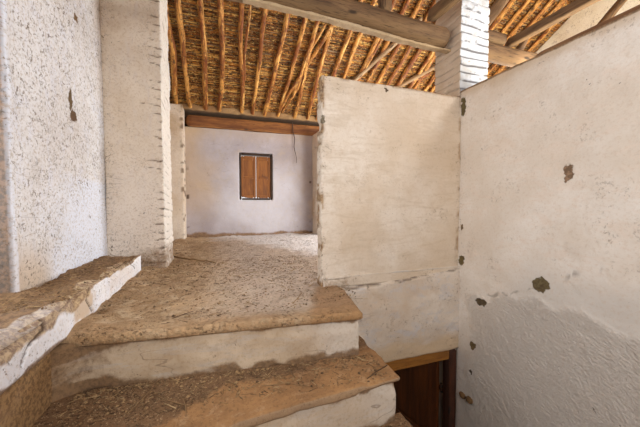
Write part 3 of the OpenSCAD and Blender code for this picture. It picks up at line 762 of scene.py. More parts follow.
def kerbHeap(points):
    # Earth heaped on the kerb, which thins out towards its outer arris
    return 0.017 * rough(points, 0.10, 5, 95) * ease(kerbX - points[:, 0], 0.0, 0.05)


def kerbRelief(points, normals):
    # Broken plaster: the outer arris is bitten away, cracks run down and the top is heaped with earth
    upper = ease(points[:, 2], 2.60, 2.65)
    outer = ease(points[:, 0], kerbX - 0.06, kerbX)
    bite = 0.034 * upper * outer * ease(rough(points, 0.14, 4, 91), -0.15, 0.6)
    heap = kerbHeap(points) * upper
    crack = 0.007 * sum(onLine(points, knots, 0.010) for knots in kerbCracks) * ease(normals[:, 0], 0.3, 0.7)
    return heap + 0.003 * rough(points, 0.3, 2, 97) - bite - crack


def kerbDirt(points, normals):
    # Earth lies on the top and hangs over the outer arris here and there
    ragged = 0.05 * rough(points, 0.12, 4, 99)
    band = 0.03 + 0.03 * ease(points[:, 1], 0.2, -0.5)
    top = ease(normals[:, 2], 0.3, 0.7) * ease(points[:, 0] + ragged + band, kerbX + 0.01, kerbX - 0.025) * 1.2
    foot = 0.7 * ease(points[:, 2] + 0.3 * ragged, 2.535, 2.505)
    return np.maximum(top * (0.45 + 0.55 * ease(points[:, 1] + ragged * 2, -0.80, -0.50)), foot)


def kerbBare(points, normals):
    # The wash has come off the upper half of the face in front of the widest crack
    edge = 2.605 + 0.022 * rough(points, 0.11, 4, 90) + 0.05 * ease(points[:, 1], -0.30, -0.22)
    face = 0.9 * ease(points[:, 2], edge - 0.006, edge + 0.006) * ease(normals[:, 0], 0.2, 0.5)
    worn = 0.7 + 0.25 * ease(points[:, 1], -0.60, -0.45)
    return np.maximum(face, ease(normals[:, 2], 0.2, 0.5) * worn)


def kerbJoint(points, normals):
    return 0.95 * np.max([onLine(points, knots, 0.0065) for knots in kerbCracks], axis=0) * (normals[:, 0] > 0.4)


wall("left_kerb", "kerb", step=(0.02, 0.08, 0.02), soften=2, relief=kerbRelief,
     boxes=[[[leftX, -1.5, 2.5], [kerbX, 0.72, 2.66]], [[-3.575, -1.5, 2.34], [leftX, -0.30, 2.66]]],
     fine={"y": [(-1.25, 0.75, 0.009)], "z": [(2.5, 2.66, 0.007)]},
     marks={"dirt": kerbDirt, "bare": kerbBare, "joint": kerbJoint,
            "warm": lambda p, n: 0.8 * spot(p, (kerbX, -0.33, 2.60), (0.2, 0.13, 0.12))})


def pierCourse(points):
    # Number of the brick course and how far from its middle, 1 at the joint
    level = (points[:, 2] + 0.012 * lattice(points, 0.3, 61)) / 0.071
    return np.floor(level), np.abs((level % 1) - 0.5) * 2


def pierRelief(points, normals):
    # Whitewashed brick shows on the pier's right side: rounded courses, some set back, that notch its arris
    course, off = pierCourse(points)
    setBack = 0.007 * lattice(np.column_stack([course * 3.1, course * 0, course * 0]), 1.0, 64)
    side = ease(points[:, 0], -2.705, -2.68)
    front = pierJoints(points, normals)
    depth = np.clip(0.5 + lattice(np.column_stack([course * 2.3, course * 0, course * 0]), 1.0, 59), 0.05, 1.3)
    notch = 0.020 * depth * ease(off, 0.68, 0.90) * (0.6 + 0.6 * rough(points, 0.09, 2, 62))
    return trowelled(points, normals) + (setBack - notch) * side - 0.006 * front


def pierJoints(points, normals):
    # Dark open joints that run a short way in from the arris, some long and some missing
    course, off = pierCourse(points + 0.012 * rough(points, 0.07, 3, 60)[:, None])
    drawn = lattice(np.column_stack([course * 3.7, course * 0, course * 0]), 1.0, 63)
    reach = 0.02 + 0.15 * np.clip(drawn + 0.4, 0, 1)
    broken = ease(rough(points, 0.06, 2, 70), -0.6, -0.2) * (normals[:, 1] < -0.3)
    return ease(off, 0.74, 0.93) * ease(points[:, 0], -2.685 - reach, -2.65 - reach) * broken


def pierSeam(points, normals):
    off = pierCourse(points)[1]
    side = ease(normals[:, 0], 0.3, 0.7) * ease(rough(points, 0.1, 2, 68), -0.2, 0.2)
    return np.maximum(0.85 * pierJoints(points, normals), 0.55 * ease(off, 0.84, 0.98) * side)


wall("left_pier", "pier", step=(0.02, 0.014, 0.02), soften=1, shape=underRoof("left_pier", 0.0),
     relief=pierRelief, fine={"z": [(2.5, 4.95, 0.009)], "x": [(-2.9, -2.67, 0.012)]},
     # The cool mark paints the right face whiter: painted light
     marks={"joint": pierSeam, "cool": lambda p, n: 0.9 * ease(n[:, 0], 0.4, 0.8),
            "coarse": lambda p, n: 1.5 * ease(p[:, 2] + 0.2 * rough(p, 0.3, 3, 41), 3.75, 2.95) * (n[:, 0] < 0.3),
            "dirt": lambda p, n: 0.5 * ease(p[:, 2] - 0.15 * (p[:, 0] + 2.9), 2.85, 2.55),
            "worn": lambda p, n: 0.5 * ease(p[:, 2], 3.3, 2.6) + 0.6 * ease(p[:, 0], -3.0, -3.1)})
print("left wall made")


# Outer walls

def backWarm(points, normals):
    # Beige towards the corners and under the plate, lilac in the middle
    side = ease(np.abs(points[:, 0] + 1.55) + 0.25 * rough(points, 0.5, 3, 48), 0.55, 1.15)
    side = side * (0.35 + 0.65 * ease(points[:, 0], -1.0, -1.8))
    return 0.6 * side * ease(points[:, 2], 2.6, 3.4) + 0.3 * ease(points[:, 2], 4.1, 4.39)


def backCool(points, normals):
    # A paler round patch about the window
    reach = np.hypot(points[:, 0] + 1.5, points[:, 2] - 3.1)
    return 0.4 * ease(reach + 0.2 * rough(points, 0.4, 3, 108), 0.95, 0.4)


def backSpots(points, normals):
    # Holes in a column beside each of the two piers
    column = ease(np.minimum(np.abs(points[:, 0] + 2.725), np.abs(points[:, 0] + 0.555)), 0.03, 0.01)
    holes = ease(lattice(points * [0.2, 0.2, 1], 0.045, 49), 0.25, 0.5)
    return 0.9 * column * holes * ease(points[:, 2], 3.75, 3.6)


wall("back_wall", "backWall", holes=[[[-1.878, 3.2, 3.15], [-1.283, 3.75, 4.0]]], step=(0.12, 0.2, 0.1),
     fine={"x": [(-2.8, -0.45, 0.02)], "z": [(2.5, 4.4, 0.02)]},
     marks={"dirt": lambda p, n: 0.8 * ease(p[:, 2] + 0.04 * rough(p, 0.2, 2, 44), 2.62, 2.5) * (p[:, 1] < 3.4),
            "warm": backWarm,
            "cool": backCool, "joint": backSpots})
for name in ("back_wall_base", "front_wall_base"):
    wall(name, "base", step=(0.14, 0.2, 0.12))
wall("front_parapet", "outer", step=(0.14, 0.2, 0.12))
wall("right_wall_base", "base", holes=[[[3.0, 0.9, -1], [3.7, 1.85, 2.0]]], step=(0.2, 0.14, 0.12))
wall("right_wall", "gable", step=(0.2, 0.12, 0.12), shape=underRoof("right_wall", wallLift))
pierEdge = corners("back_left_pier")[1][0]
wall("back_left_pier", "pier", step=0.04, fine={"z": [(2.5, 4.65, 0.025)]},
     marks={"worn": lambda p, n: 0.5 * ease(np.abs(p[:, 0] - pierEdge), 0.03, 0.0),
            "joint": lambda p, n: 0.8 * ease(np.abs(p[:, 0] - pierEdge), 0.05, 0.02)
            * ease(lattice(p * [0.3, 0.3, 1], 0.05, 43), 0.3, 0.5)})
wall("back_right_pier", "pier", step=0.04)
wall("front_piers", "outer", [[[x, -3.7, 3.35], [x + 0.31, -3.25, 4.27]] for x in (leftX, wellX, 2.815)],
     step=0.06)


def courseShape(points):
    # The eave course follows the underside of the roof deck, its foot stays level
    top = ridgeZ + 0.083 - points[:, 1] * roofSlope
    share = (points[:, 2] - 4.39) / 0.4
    return np.column_stack([points[:, :2], 4.39 + share * (top - 4.39)])


# Three boxes before the slope shapes them: behind the plate, on its back edge, and the nose that
# beds the poles
courseBoxes = [[[leftX, 3.40, 4.39], [3.125, 3.70, 4.79]], [[leftX, 3.36, 4.61], [3.125, 3.70, 4.79]],
               [[leftX, 3.28, 4.665], [3.125, 3.70, 4.79]]]
for name, mirrored in (("back_eave_course", False), ("front_eave_course", True)):
    masonry(name, courseBoxes, paints["mortar"], step=(0.04, 0.05, 0.04), soften=1, mirrored=mirrored,
            relief=lambda p, n: 0.012 * rough(p, 0.10, 3, 171), shape=courseShape,
            fine={"y": [(3.27, 3.43, 0.02)], "z": [(4.57, 4.72, 0.014)]},
            # The back of the slot over the plate is painted dark: painted shadow
            marks={"joint": lambda p, n: ease(p[:, 2], 4.70, 4.675) * ease(p[:, 1], 3.5, 3.45)})
print("outer walls made")


# Inner walls

def strokes(points, normals):
    # Plaster dragged down towards the landing with a trowel: ridges long one way and short the other
    tilt = math.radians(35)
    along = points[:, 1] * math.cos(tilt) + points[:, 2] * math.sin(tilt)
    across = -points[:, 1] * math.sin(tilt) + points[:, 2] * math.cos(tilt)
    ridges = rough(np.column_stack([along * 0.75, across, points[:, 0]]), 0.024, 1, 51)
    return 0.0017 * ridges + 0.0019 * rough(points, 0.021, 1, 55)


def coarseZone(points, normals):
    # The rough coat of the right wall lies under a curve
    edge = np.interp(-points[:, 1], [0.17, 0.37, 0.55, 0.72, 1.06, 1.28, 3.2],
                     [2.31, 2.35, 2.41, 2.48, 2.474, 2.417, 2.2])
    near = ease(points[:, 1] + 0.05 * rough(points, 0.15, 2, 56), -0.24, -0.36)
    return ease(points[:, 2] + 0.05 * rough(points, 0.12, 4, 57), edge + 0.03, edge - 0.04) * near


def rightRelief(points, normals):
    # Strokes in the rough coat, flat trowel marks above it, and a lip along its edge
    coarse = coarseZone(points, normals)
    thick = 0.001 * ease(coarse, 0.1, 0.5) * ease(coarse, 1.0, 0.6)
    marks = 0.0018 * rough(points * [1, 0.4, 1.3], 0.05, 2, 52) * (1 - coarse)
    relief = 0.6 * trowelled(points, normals) + strokes(points, normals) * coarse - 0.003 * coarse + thick
    return (relief + marks) * (points[:, 1] < -0.16)


def rightCool(points, normals):
    # Greyer low down, and in a smooth patch above the rough coat
    ragged = points[:, 2] + 0.08 * rough(points, 0.3, 3, 42)
    patch = ease(ragged, 2.82, 2.62) * ease(points[:, 1] + 0.5 * (ragged - 2.6), -0.55, -0.8)
    return np.maximum(0.85 * patch, 0.6 * ease(ragged, 2.2, 1.75))


def rightJoint(points, normals):
    # A brown crack that starts on the edge of the rough coat and goes on above it
    knots = [(-0.34, 2.31), (-0.50, 2.40), (-0.65, 2.48), (-0.80, 2.54), (-0.92, 2.62), (-1.02, 2.68),
             (-1.13, 2.73)]
    wavy = points + 0.02 * rough(points, 0.08, 3, 50)[:, None]
    return 0.45 * onLine(wavy, knots, 0.008) * ease(rough(points, 0.06, 3, 58), -0.1, 0.2)


wall("well_side_wall", "rightWall", step=(0.15, 0.08, 0.08), soften=2, relief=rightRelief,
     fine={"y": [(-1.35, -0.1, 0.0105)], "z": [(1.45, 2.6, 0.0105), (2.6, 4.1, 0.025)]},
     marks={"coarse": coarseZone, "cool": rightCool, "joint": rightJoint,
            "warm": lambda p, n: 0.6 * ease(p[:, 2] + 0.03 * rough(p, 0.1, 3, 54), 3.93, 4.02),
            "dirt": lambda p, n: 0.9 * ease(p[:, 2], 4.0, 4.03),
            "worn": lambda p, n: 0.6 * ease(p[:, 1], -0.23, -0.16) + 0.2 * ease(p[:, 2], 3.95, 4.03)})


def partitionWorn(points, normals):
    left = ease(points[:, 0], -1.44, -1.51)
    return 0.65 * left + 0.6 * ease(points[:, 0], -0.34, -0.28) + 0.25 * ease(points[:, 2], 3.93, 3.985)


def partitionBare(points, normals):
    # Earth shows where the left edge has crumbled and along the corner with the right wall
    edge = np.maximum(ease(points[:, 0], -1.485, -1.505), 0.8 * ease(points[:, 0], -0.31, -0.285))
    top = ease(points[:, 2], 3.965, 3.98)
    return np.maximum(edge, top) * ease(rough(points, 0.07, 4, 65), 0.05, 0.3)


def partitionRelief(points, normals):
    # Level trowel marks, and an edge that has crumbled
    marks = rough(points * [0.3, 1, 1.5] + 0.01 * rough(points, 0.3, 1, 66)[:, None], 0.05, 2, 53)
    crumbled = ease(points[:, 0], -1.46, -1.51) * ease(rough(points, 0.06, 3, 59), 0.0, 0.7)
    return 0.8 * trowelled(points, normals) + 0.0026 * marks - 0.018 * crumbled


def partitionShape(points):
    # The upper part leans a little and its top is uneven
    upper = ease(points[:, 2], 3.1, 3.3)
    lean, wave = 0.012 * (points[:, 2] - 3.2), 0.014 * lattice(points, 0.4, 58)
    return points + np.column_stack([lean * upper, upper * 0, wave * upper])


wall("partition", "partition", [[[-1.515, -0.15, 2.48], [wellX + 0.02, -0.05, 3.985]]],
     step=(0.018, 0.04, 0.018), soften=2, relief=partitionRelief, shape=partitionShape,
     marks={"worn": partitionWorn, "bare": partitionBare,
            # The warm mark paints the right part darker and browner: painted shade
            "warm": lambda p, n: 0.3 * ease(p[:, 0] + 0.1 * rough(p, 0.3, 2, 104), -0.95, -0.45),
            "dirt": lambda p, n: 0.5 * ease(p[:, 2], 2.66, 2.5) * ease(p[:, 0], -1.0, -1.5)})

# The edge of the plaster under the attic floor, as places along X and Z
overhang = [(-1.55, 2.452), (-1.359, 2.458), (-1.13, 2.474), (-0.866, 2.488), (-0.581, 2.513), (-0.303, 2.533),
            (-0.2, 2.54)]


def endRelief(points, normals):
    # The plaster under the attic floor stands proud of the partition up to a line that falls to the left
    line = np.interp(points[:, 0], *np.array(overhang).T)
    proud = ease(points[:, 2] + 0.010 * rough(points, 0.08, 3, 73), line + 0.004, line - 0.010)
    front = ease(-normals[:, 1], 0.2, 0.6)
    lumps = 0.004 * rough(points * [0.6, 1, 1], 0.07, 2, 75) * proud
    return 0.8 * trowelled(points, normals) + lumps - 0.034 * (1 - proud) * front


def endCrackAndShadow(points, normals):
    # A broken dark line along the edge of the proud plaster: partly a crack, partly a painted shadow line
    wavy = points + np.column_stack([points[:, 0] * 0] * 2 + [0.014 * rough(points, 0.07, 3, 74)])
    return 0.75 * onLine(wavy, overhang, 0.009, (0, 2)) * ease(rough(points, 0.15, 2, 76), -0.25, 0.1)


wall("well_end_wall", "endWall", replaced=["well_end_wall", "well_end_head"], relief=endRelief, soften=2,
     boxes=[[[stairX, -0.17, 0], [-1.095, 0.13, 2.34]], [[-1.5, -0.17, 2.34], [wellX + 0.02, -0.05, 2.56]],
            [[-1.095, -0.17, 1.852], [wellX + 0.02, 0.13, 2.34]]],
     step=(0.06, 0.1, 0.06), fine={"x": [(-1.6, -0.2, 0.016)], "z": [(1.75, 2.56, 0.012)]},
     marks={"warm": lambda p, n: 0.8 * ease(p[:, 2] + 0.03 * rough(p, 0.15, 3, 77), 2.02, 1.93),
            "worn": lambda p, n: 0.5 * ease(p[:, 0], -0.36, -0.28), "joint": endCrackAndShadow,
            "dirt": lambda p, n: 0.4 * ease(p[:, 0], -1.1, -1.4)})

# Two rounded stones bedded in the right wall beside the doorway, as a place and a radius
wallStones = [((-0.280, -0.296, 1.478), 0.034), ((-0.279, -0.225, 1.470), 0.030)]
around = np.linspace(0, np.pi, 9)[1:-1]
for n, (centre, radius) in enumerate(wallStones):
    angle, drop = np.meshgrid(np.linspace(0, 2 * np.pi, 14, endpoint=False), around)
    ball = np.stack([np.sin(drop) * np.cos(angle), np.sin(drop) * np.sin(angle), np.cos(drop)], axis=2)
    ball = ball.reshape(-1, 3)
    ball = np.concatenate([ball, [[0, 0, 1], [0, 0, -1]]])
    ball = ball * radius * (1 + 0.18 * rough(ball + n, 0.9, 2, 78))[:, None] * [0.7, 1, 0.85] + np.array(centre)
    ids = np.arange(98).reshape(7, 14)
    beside = np.roll(ids, -1, axis=1)
    faces = np.stack([ids[:-1], ids[1:], beside[1:], beside[:-1]], axis=2).reshape(-1, 4).tolist()
    faces += [[98, a, b] for a, b in zip(ids[0], beside[0])]
    faces += [[99, b, a] for a, b in zip(ids[-1], beside[-1])]
    addPiece(f"wallStone{n + 1}", ball, faces, paints["stone"])

brickwork = {"course": 0.0655, "joint": 0.010, "depth": 0.008}


def brickJoints(points):
    # Level courses whose joints wander a little, and half of which are filled with wash
    wander = 0.010 * rough(points, 0.2, 2, 61)
    level = (points[:, 2] + wander) / brickwork["course"]
    course = np.floor(level)
    off = np.abs(level - course - 0.5) * 2
    return course, ease(off, 1 - 2.2 * brickwork["joint"] / brickwork["course"], 0.97)


def brickRelief(points, normals):
    # Joints sink in, and the bricks of each course are set back unevenly
    course, sunk = brickJoints(points)
    setBack = 0.005 * lattice(np.column_stack([course * 5.0, normals[:, 0] * 3, course * 0]), 1.0, 71)
    level = np.abs(normals[:, 2]) < 0.6
    return level * (setBack - brickwork["depth"] * sunk) + 0.002 * rough(points, 0.03, 2, 67)


def openJoints(points, normals):
    # Joints with no wash in them show dark: most on the front, fewer and broken on the other sides
    sunk = brickJoints(points)[1]
    front = ease(-normals[:, 1], 0.2, 0.7)
    upper = ease(points[:, 2], 4.45, 4.6)
    filled = ease(rough(points * [1, 1, 2], 0.09, 3, 69) + 0.2 - 0.3 * upper + 0.3 * front, 0.0, 0.22)
    blots = ease(rough(points * [0.6, 1, 1], 0.05, 3, 72), 0.55, 0.8) * front
    return np.maximum(sunk * filled * (0.3 + 0.7 * front), 0.55 * blots)


wall("brick_pier", "brick", step=(0.05, 0.05, 0.1), relief=brickRelief, soften=1, marks={"joint": openJoints},
     fine={"x": [(-0.3, 0.1, 0.009)], "y": [(-0.2, 0.2, 0.012)], "z": [(3.9, 5.1, 0.0065)]})
print("inner walls made")


# Attic floor

stair = {"edge": 0.570, "going": 0.335, "riser": 0.25, "turns": (0.079, -0.048, 0.0, 0.0),
         "right": (-1.45, -1.352, -1.303, -1.303), "bedded": 0.06}


def floorRise(points):
    # Trodden earth: low swells and loose stuff heaped along the left and the back walls
    heap = 0.045 * ease(points[:, 0], -2.62, -2.84) + 0.02 * ease(points[:, 1], 3.1, 3.25)
    heap = heap * (0.6 + 0.5 * rough(points, 0.2, 2, 87))
    return heap + 0.008 * rough(points, 0.35, 2, 83) + 0.007 * rough(points, 0.06, 3, 85)


def floorRelief(points, normals):
    # The floor's rise on its top face, less of it at the edge over the stair
    edge = ease(points[:, 1], -0.62, -0.5)
    return floorRise(points) * np.clip(normals[:, 2], 0, 1) * (0.25 + 0.75 * edge)


def turned(points, n):
    # Turns a step's front: its left end moves one way and its right end the other, by the same length
    share = (points[:, 0] - stairX) / (stair["right"][n] - stairX)
    return stair["turns"][n] * (1 - 2 * np.clip(share, 0, 1))


def floorShape(points):
    # Turns the floor's edge with the first riser, and spreads its right end
    front = ease(points[:, 1], 0.0, -0.5)
    y = points[:, 1] + turned(points, 0) * front
    spread = 0.065 * ease(points[:, 1], -0.6, -0.18) * ease(points[:, 1], 0.05, -0.1)
    x = points[:, 0] + spread * np.clip((points[:, 0] - stairX) / 1.425, 0, 1) * (points[:, 0] < -1.4)
    return np.column_stack([x, y, points[:, 2]])


def floorLitPatch(points, normals):
    # Painted light: a pale patch, strong at the back on the right, and a weaker one in the middle
    patchy = points[:, 0] + 0.35 * points[:, 1] + 0.35 * rough(points, 0.5, 4, 86)
    middle = 0.35 * ease(points[:, 0], -2.5, -1.9) * ease(points[:, 1], -0.62, -0.4)
    return np.maximum(ease(patchy, -1.4, -0.5) * ease(points[:, 1], 0.4, 1.1), middle)


def floorShade(points, normals):
    # Painted shadow of the partition in the corner between the stair and the partition, and a darker band along
    # the nosing
    ragged = points[:, 0] - 0.35 * points[:, 1] + 0.03 * rough(points, 0.15, 3, 84)
    nosing = 0.3 * ease(points[:, 1] + 0.04 * rough(points, 0.12, 3, 107), -0.51, -0.57)
    return np.maximum(0.8 * ease(ragged, -1.60, -1.52) * ease(points[:, 1], -0.08, -0.14), nosing)


wall("attic_floor_back", "floor", relief=floorRelief, shape=floorShape, soften=2, step=0.06,
     boxes=[[[stairX - 0.01, -0.05, 2.34], [3.13, 3.26, floorZ]],
            [[stairX - 0.01, -0.592, 2.452], [stair["right"][0], 0.0, floorZ]]],
     fine={"x": [(-2.9, -1.0, 0.02)], "y": [(-0.62, 1.6, 0.018)]},
     marks={"fresh": floorLitPatch, "shade": floorShade})
wall("attic_floor_right", "floor", step=0.08, relief=floorRelief)


# Steps

def riserSeam(points, width):
    # Level cracks, where a noise drawn out along the step passes through zero
    return ease(np.abs(rough(points * [0.3, 1, 1.2], 0.16, 3, 92)), width, 0.0)


def riserRelief(points, normals):
    # Plaster that has come off under the nosing in bites, and level cracks
    upper = ease(points[:, 2] % stair["riser"], 0.13, 0.2)
    bite = upper * ease(rough(points, 0.12, 3, 93), -0.15, 0.45)
    swells = 0.006 * rough(points, 0.25, 2, 94) + 0.003 * rough(points, 0.05, 2, 95)
    return swells - 0.012 * bite - 0.002 * riserSeam(points, 0.02)


def riserDirtAndShade(points, normals):
    # Earth and painted shade hang down from the nosing, earth lies along the foot, and painted shade darkens the
    # left corner
    low = points[:, 2] % stair["riser"]
    ragged = low + 0.03 * rough(points, 0.09, 3, 100)
    hanging = 0.95 * ease(ragged, 0.165, 0.225)
    foot = 0.8 * ease(ragged, 0.06, 0.0)
    corner = 0.7 * ease(points[:, 0] + 0.12 * rough(points, 0.25, 3, 102), -2.55, -2.88)
    return np.maximum(hanging, foot) + corner


def riserJoint(points, normals):
    # The dark of the cracks, broken, on the front only
    return 0.35 * riserSeam(points, 0.012) * ease(rough(points, 0.3, 2, 89), 0.1, 0.4) * (normals[:, 1] < -0.5)


def treadRelief(points, normals):
    # Worn edges with bites out of them
    arris = np.clip(3 * np.abs(normals[:, 2]) * np.hypot(normals[:, 0], normals[:, 1]), 0, 1)
    bite = ease(rough(points, 0.13, 3, 96), 0.1, 0.7)
    return -0.014 * bite * arris + 0.004 * rough(points, 0.25, 2, 98) + 0.0022 * rough(points, 0.04, 2, 99)


def makeStep(n, name):
    # One step: a plastered riser, and from the second step on a tread over it
    top = floorZ - n * stair["riser"]
    front = -stair["edge"] - n * stair["going"]
    back = -0.17 if n == 0 else front + stair["going"] + 0.1
    left, right = stairX - stair["bedded"], stair["right"][n]
    fine = {"x": [(stairX, right + 0.01, 0.018)], "z": [(top - 0.3, top, 0.012)],
            "y": [(front - 0.03, front + 0.36, 0.018)]}

    def stepShape(points):
        # A cove rounds the riser into the wall on its left
        inward = np.clip((stairX + 0.13 - points[:, 0]) / 0.13, 0, 1) ** 2
        cove = 0.07 * inward * ease(points[:, 1], front + 0.1, front)
        return np.column_stack([points[:, 0], points[:, 1] + turned(points, n) - cove, points[:, 2]])

    def treadDirt(points, normals):
        # Earth lies along the riser behind, and the left corner is darker
        ragged = points[:, 1] + turned(points, n - 1) + 0.05 * rough(points, 0.15, 3, 88)
        behind = ease(ragged, front + 0.08, front + 0.30)
        return behind * 0.95 + 0.7 * ease(points[:, 0], -2.2, -2.75)

    masonry(name, [[[left, front, 0], [right - 0.012, back, top - 0.02]]], paints["riser"],
            relief=riserRelief,
            soften=2, shape=stepShape, step=(0.05, 0.08, 0.1), fine=fine,
            marks={"dirt": riserDirtAndShade, "joint": riserJoint,
                   "cool": lambda p, n: 0.6 * ease(p[:, 0] + 0.2 * rough(p, 0.3, 2, 101), -2.0, -1.4)})
    if n:
        masonry(name + "_tread", [[[left, front - 0.022, top - 0.045], [right, back, top]]], paints["tread"],
                replaced=[name], relief=treadRelief, shape=stepShape, soften=2, step=(0.05, 0.05, 0.02),
                fine=fine, marks={"dirt": treadDirt})


for n, name in enumerate(("stair_head", "upper_step_1", "upper_step_2", "upper_step_3")):
    makeStep(n, name)
masonry("half_landing", [[[stairX, -3.25, 0], [wellX, -1.66, 1.5]], [[stairX, -1.66, 0], [-1.303, -1.575, 1.5]]],
        paints["tread"], relief=treadRelief, step=(0.07, 0.07, 0.15), soften=2)
treads = [[[-1.46, -1.66 + 0.262 * n, 0], [wellX, -1.66 + 0.262 * (n + 1), 1.25 - 0.25 * n]] for n in range(5)]
masonry("lower_flight", treads, paints["tread"], relief=treadRelief, step=(0.05, 0.05, 0.1), soften=2)
print("floors and steps made")


# Straw, sticks and crumbs on the floor and the steps

litter = {"straws": 5200, "sticks": 90, "crumbs": 9000}
kerbRise = 0.16  # height of the kerb over the floor
# Beds of litter: share, lowest and highest X and how it crowds to the low end, the same for Y, and the step
# whose riser stands behind it, with -1 for the floor and -2 for the kerb
litterBeds = [(0.32, (-2.80, -1.35, 1.0), (-0.50, 1.10, 1.0), -1),
              (0.14, (-2.82, -2.32, 2.0), (-0.30, 2.90, 1.0), -1),
              (0.18, (-2.70, 0.50, 1.0), (0.40, 3.10, 1.0), -1),
              (0.14, (-2.80, -1.40, 1.3), (0.02, 0.24, 1.8), 0),
              (0.08, (-2.80, -1.40, 1.0), (0.02, 0.24, 1.8), 1),
              (0.14, (-3.11, -2.85, 1.0), (-0.60, 0.70, 1.0), -2)]


def strewn(count):
    # Draws a bed for each piece by its share and a place in it; on a tread it crowds to the riser behind
    bed = np.searchsorted(np.cumsum([row[0] for row in litterBeds])[:-1], chance.uniform(0, 1, count))
    across, along = chance.uniform(0, 1, (2, count))
    places = np.zeros((count, 3))
    for n, (_, (x0, x1, crowdX), (y0, y1, crowdY), step) in enumerate(litterBeds):
        here = bed == n
        x = x0 + (x1 - x0) * across[here] ** crowdX
        y = y0 + (y1 - y0) * along[here] ** crowdY
        z = floorZ - max(step + 1, 0) * stair["riser"] + x * 0
        flat = np.column_stack([x, y, z])
        if step >= 0:
            y = -stair["edge"] - step * stair["going"] + turned(flat, step) - y
        lift = floorRise(flat) if step == -1 else 0.002
        if step == -2:
            lift = kerbRise + kerbHeap(flat + [0, 0, kerbRise])
        places[here] = np.column_stack([x, y, z + lift])
    return places


def straws(count, shortest, longest, thick):
    # Thin bent sticks: a parabola laid on the ground, given a few sides
    middle = strewn(count)
    length = shortest + (longest - shortest) * chance.uniform(0, 1, count) ** 3
    heading = chance.uniform(0, np.pi, count)
    ahead = np.column_stack([np.cos(heading), np.sin(heading), chance.uniform(-0.12, 0.12, count)])
    sideways = np.column_stack([-np.sin(heading), np.cos(heading), heading * 0])
    sideways = sideways * chance.uniform(-0.2, 0.2, (count, 1))
    t = np.array([-0.5, 0.0, 0.5])
    paths = (middle[:, None] + (ahead * length[:, None])[:, None] * t[None, :, None]
             + (sideways * length[:, None])[:, None] * (t ** 2)[None, :, None])
    paths[:, :, 2] += thick * 0.9
    radius = thick * chance.uniform(0.5, 1.0, (count, 1))
    return sweep(paths, radius, radius, 2, 4, (0, 0, 1))


def crumbHeap(count):
    # Each crumb is an octahedron pulled out of shape
    middle = strewn(count)
    size = 0.0018 + 0.0075 * chance.uniform(0, 1, count) ** 4
    corner = np.array([[1, 0, 0], [-1, 0, 0], [0, 1, 0], [0, -1, 0], [0, 0, 1], [0, 0, -1]], float)
    points = corner[None] * size[:, None, None] * chance.uniform(0.6, 1.4, (count, 6, 1)) * [1, 1, 0.7]
    points = middle[:, None] + points
    face = np.array([[0, 2, 4], [2, 1, 4], [1, 3, 4], [3, 0, 4], [2, 0, 5], [1, 2, 5], [3, 1, 5], [0, 3, 5]])
    faces = (face[None] + np.arange(count)[:, None, None] * 6).reshape(-1, 3)
    return points.reshape(-1, 3), faces.tolist(), {"tone": np.repeat(chance.uniform(0, 0.75, count), 6)}


points, faces, extra = joined([straws(litter["straws"], 0.010, 0.060, 0.0013),
                               straws(litter["sticks"], 0.06, 0.24, 0.0028)])
addPiece("sticks", points, faces, paints["litter"], extra=extra)
points, faces, extra = crumbHeap(litter["crumbs"])
addPiece("crumbs", points, faces, paints["litter"], extra=extra, smooth=False)
# A long stick that lies aslant on the floor by the left wall
stick = np.linspace((-2.851, 1.579, 2.5), (-2.251, 0.979, 2.5), 24)
stick = stick + np.column_stack([0.012 * lattice(stick, 0.15, 88), stick[:, 0] * 0, floorRise(stick) + 0.008])
radius = np.linspace(0.009, 0.006, 24)
points, faces, extra = sweep([stick], radius, radius, 2, 8, (0, 0, 1))
addPiece("floorStick", points, faces, paints["litter"], extra=extra)
print("litter strewn")


# Timbers

def weathered(grain):
    # Lumps along a log, and long shrinkage cracks
    crack = lattice(grain * np.array([1.5, 30, 30]), 1.0, 101)
    return 0.05 * lattice(grain, 0.3, 103) + 0.03 * lattice(grain, 0.1, 105) - 0.06 * ease(crack, 0.45, 0.8)


def logPath(start, end, rings, bend=0.0, seed=0):
    # A straight line from start to end with slow sideways bends
    t = np.linspace(0, 1, rings)[:, None]
    line = np.array(start) * (1 - t) + np.array(end) * t
    ahead = np.array(end) - np.array(start)
    sideways = np.cross(ahead / np.linalg.norm(ahead), [0.3, 0.5, 0.8])
    upward = np.cross(ahead / np.linalg.norm(ahead), sideways)
    spots = t * np.linalg.norm(ahead) * np.array([[1, 0, 0]])
    curve = lattice(spots, 0.8, 111 + seed)[:, None] * sideways
    curve = curve + lattice(spots, 0.8, 131 + seed)[:, None] * upward
    return line + bend * curve * np.sin(np.pi * t)


def timber(name, parts, paint):
    points, faces, extra = joined(parts)
    addPiece(name + "Wood", points, faces, paints[paint], [name], extra=extra)


def logBetween(start, end, butt, tip, rings=60, bend=0.008, seed=1, power=2.2, sides=24, up=(0, 0.05, 1),
               roundEnd=0.03):
    radius = np.linspace(butt, tip, rings)
    path = logPath(start, end, rings, bend, seed)
    return sweep([path], radius, radius, power, sides, up, weathered, roundEnd)


def squared(low, high, rings=30, power=9, bend=0.002, wear=weathered):
    # A squared timber: a box's section with worn arrises, carried along its longest side
    low, high = np.array(low, float), np.array(high, float)
    size = high - low
    longest = int(np.argmax(size))
    start, end = (low + high) / 2, (low + high) / 2
    start[longest], end[longest] = low[longest], high[longest]
    across, upright = [k for k in range(3) if k != longest]
    up = (0, 1, 0) if longest == 2 else (0, 0, 1)
    path = logPath(start, end, rings, bend, longest)
    return sweep([path], size[across] / 2 * 0.98, size[upright] / 2 * 0.98, power, 28, up, wear, 0.004)


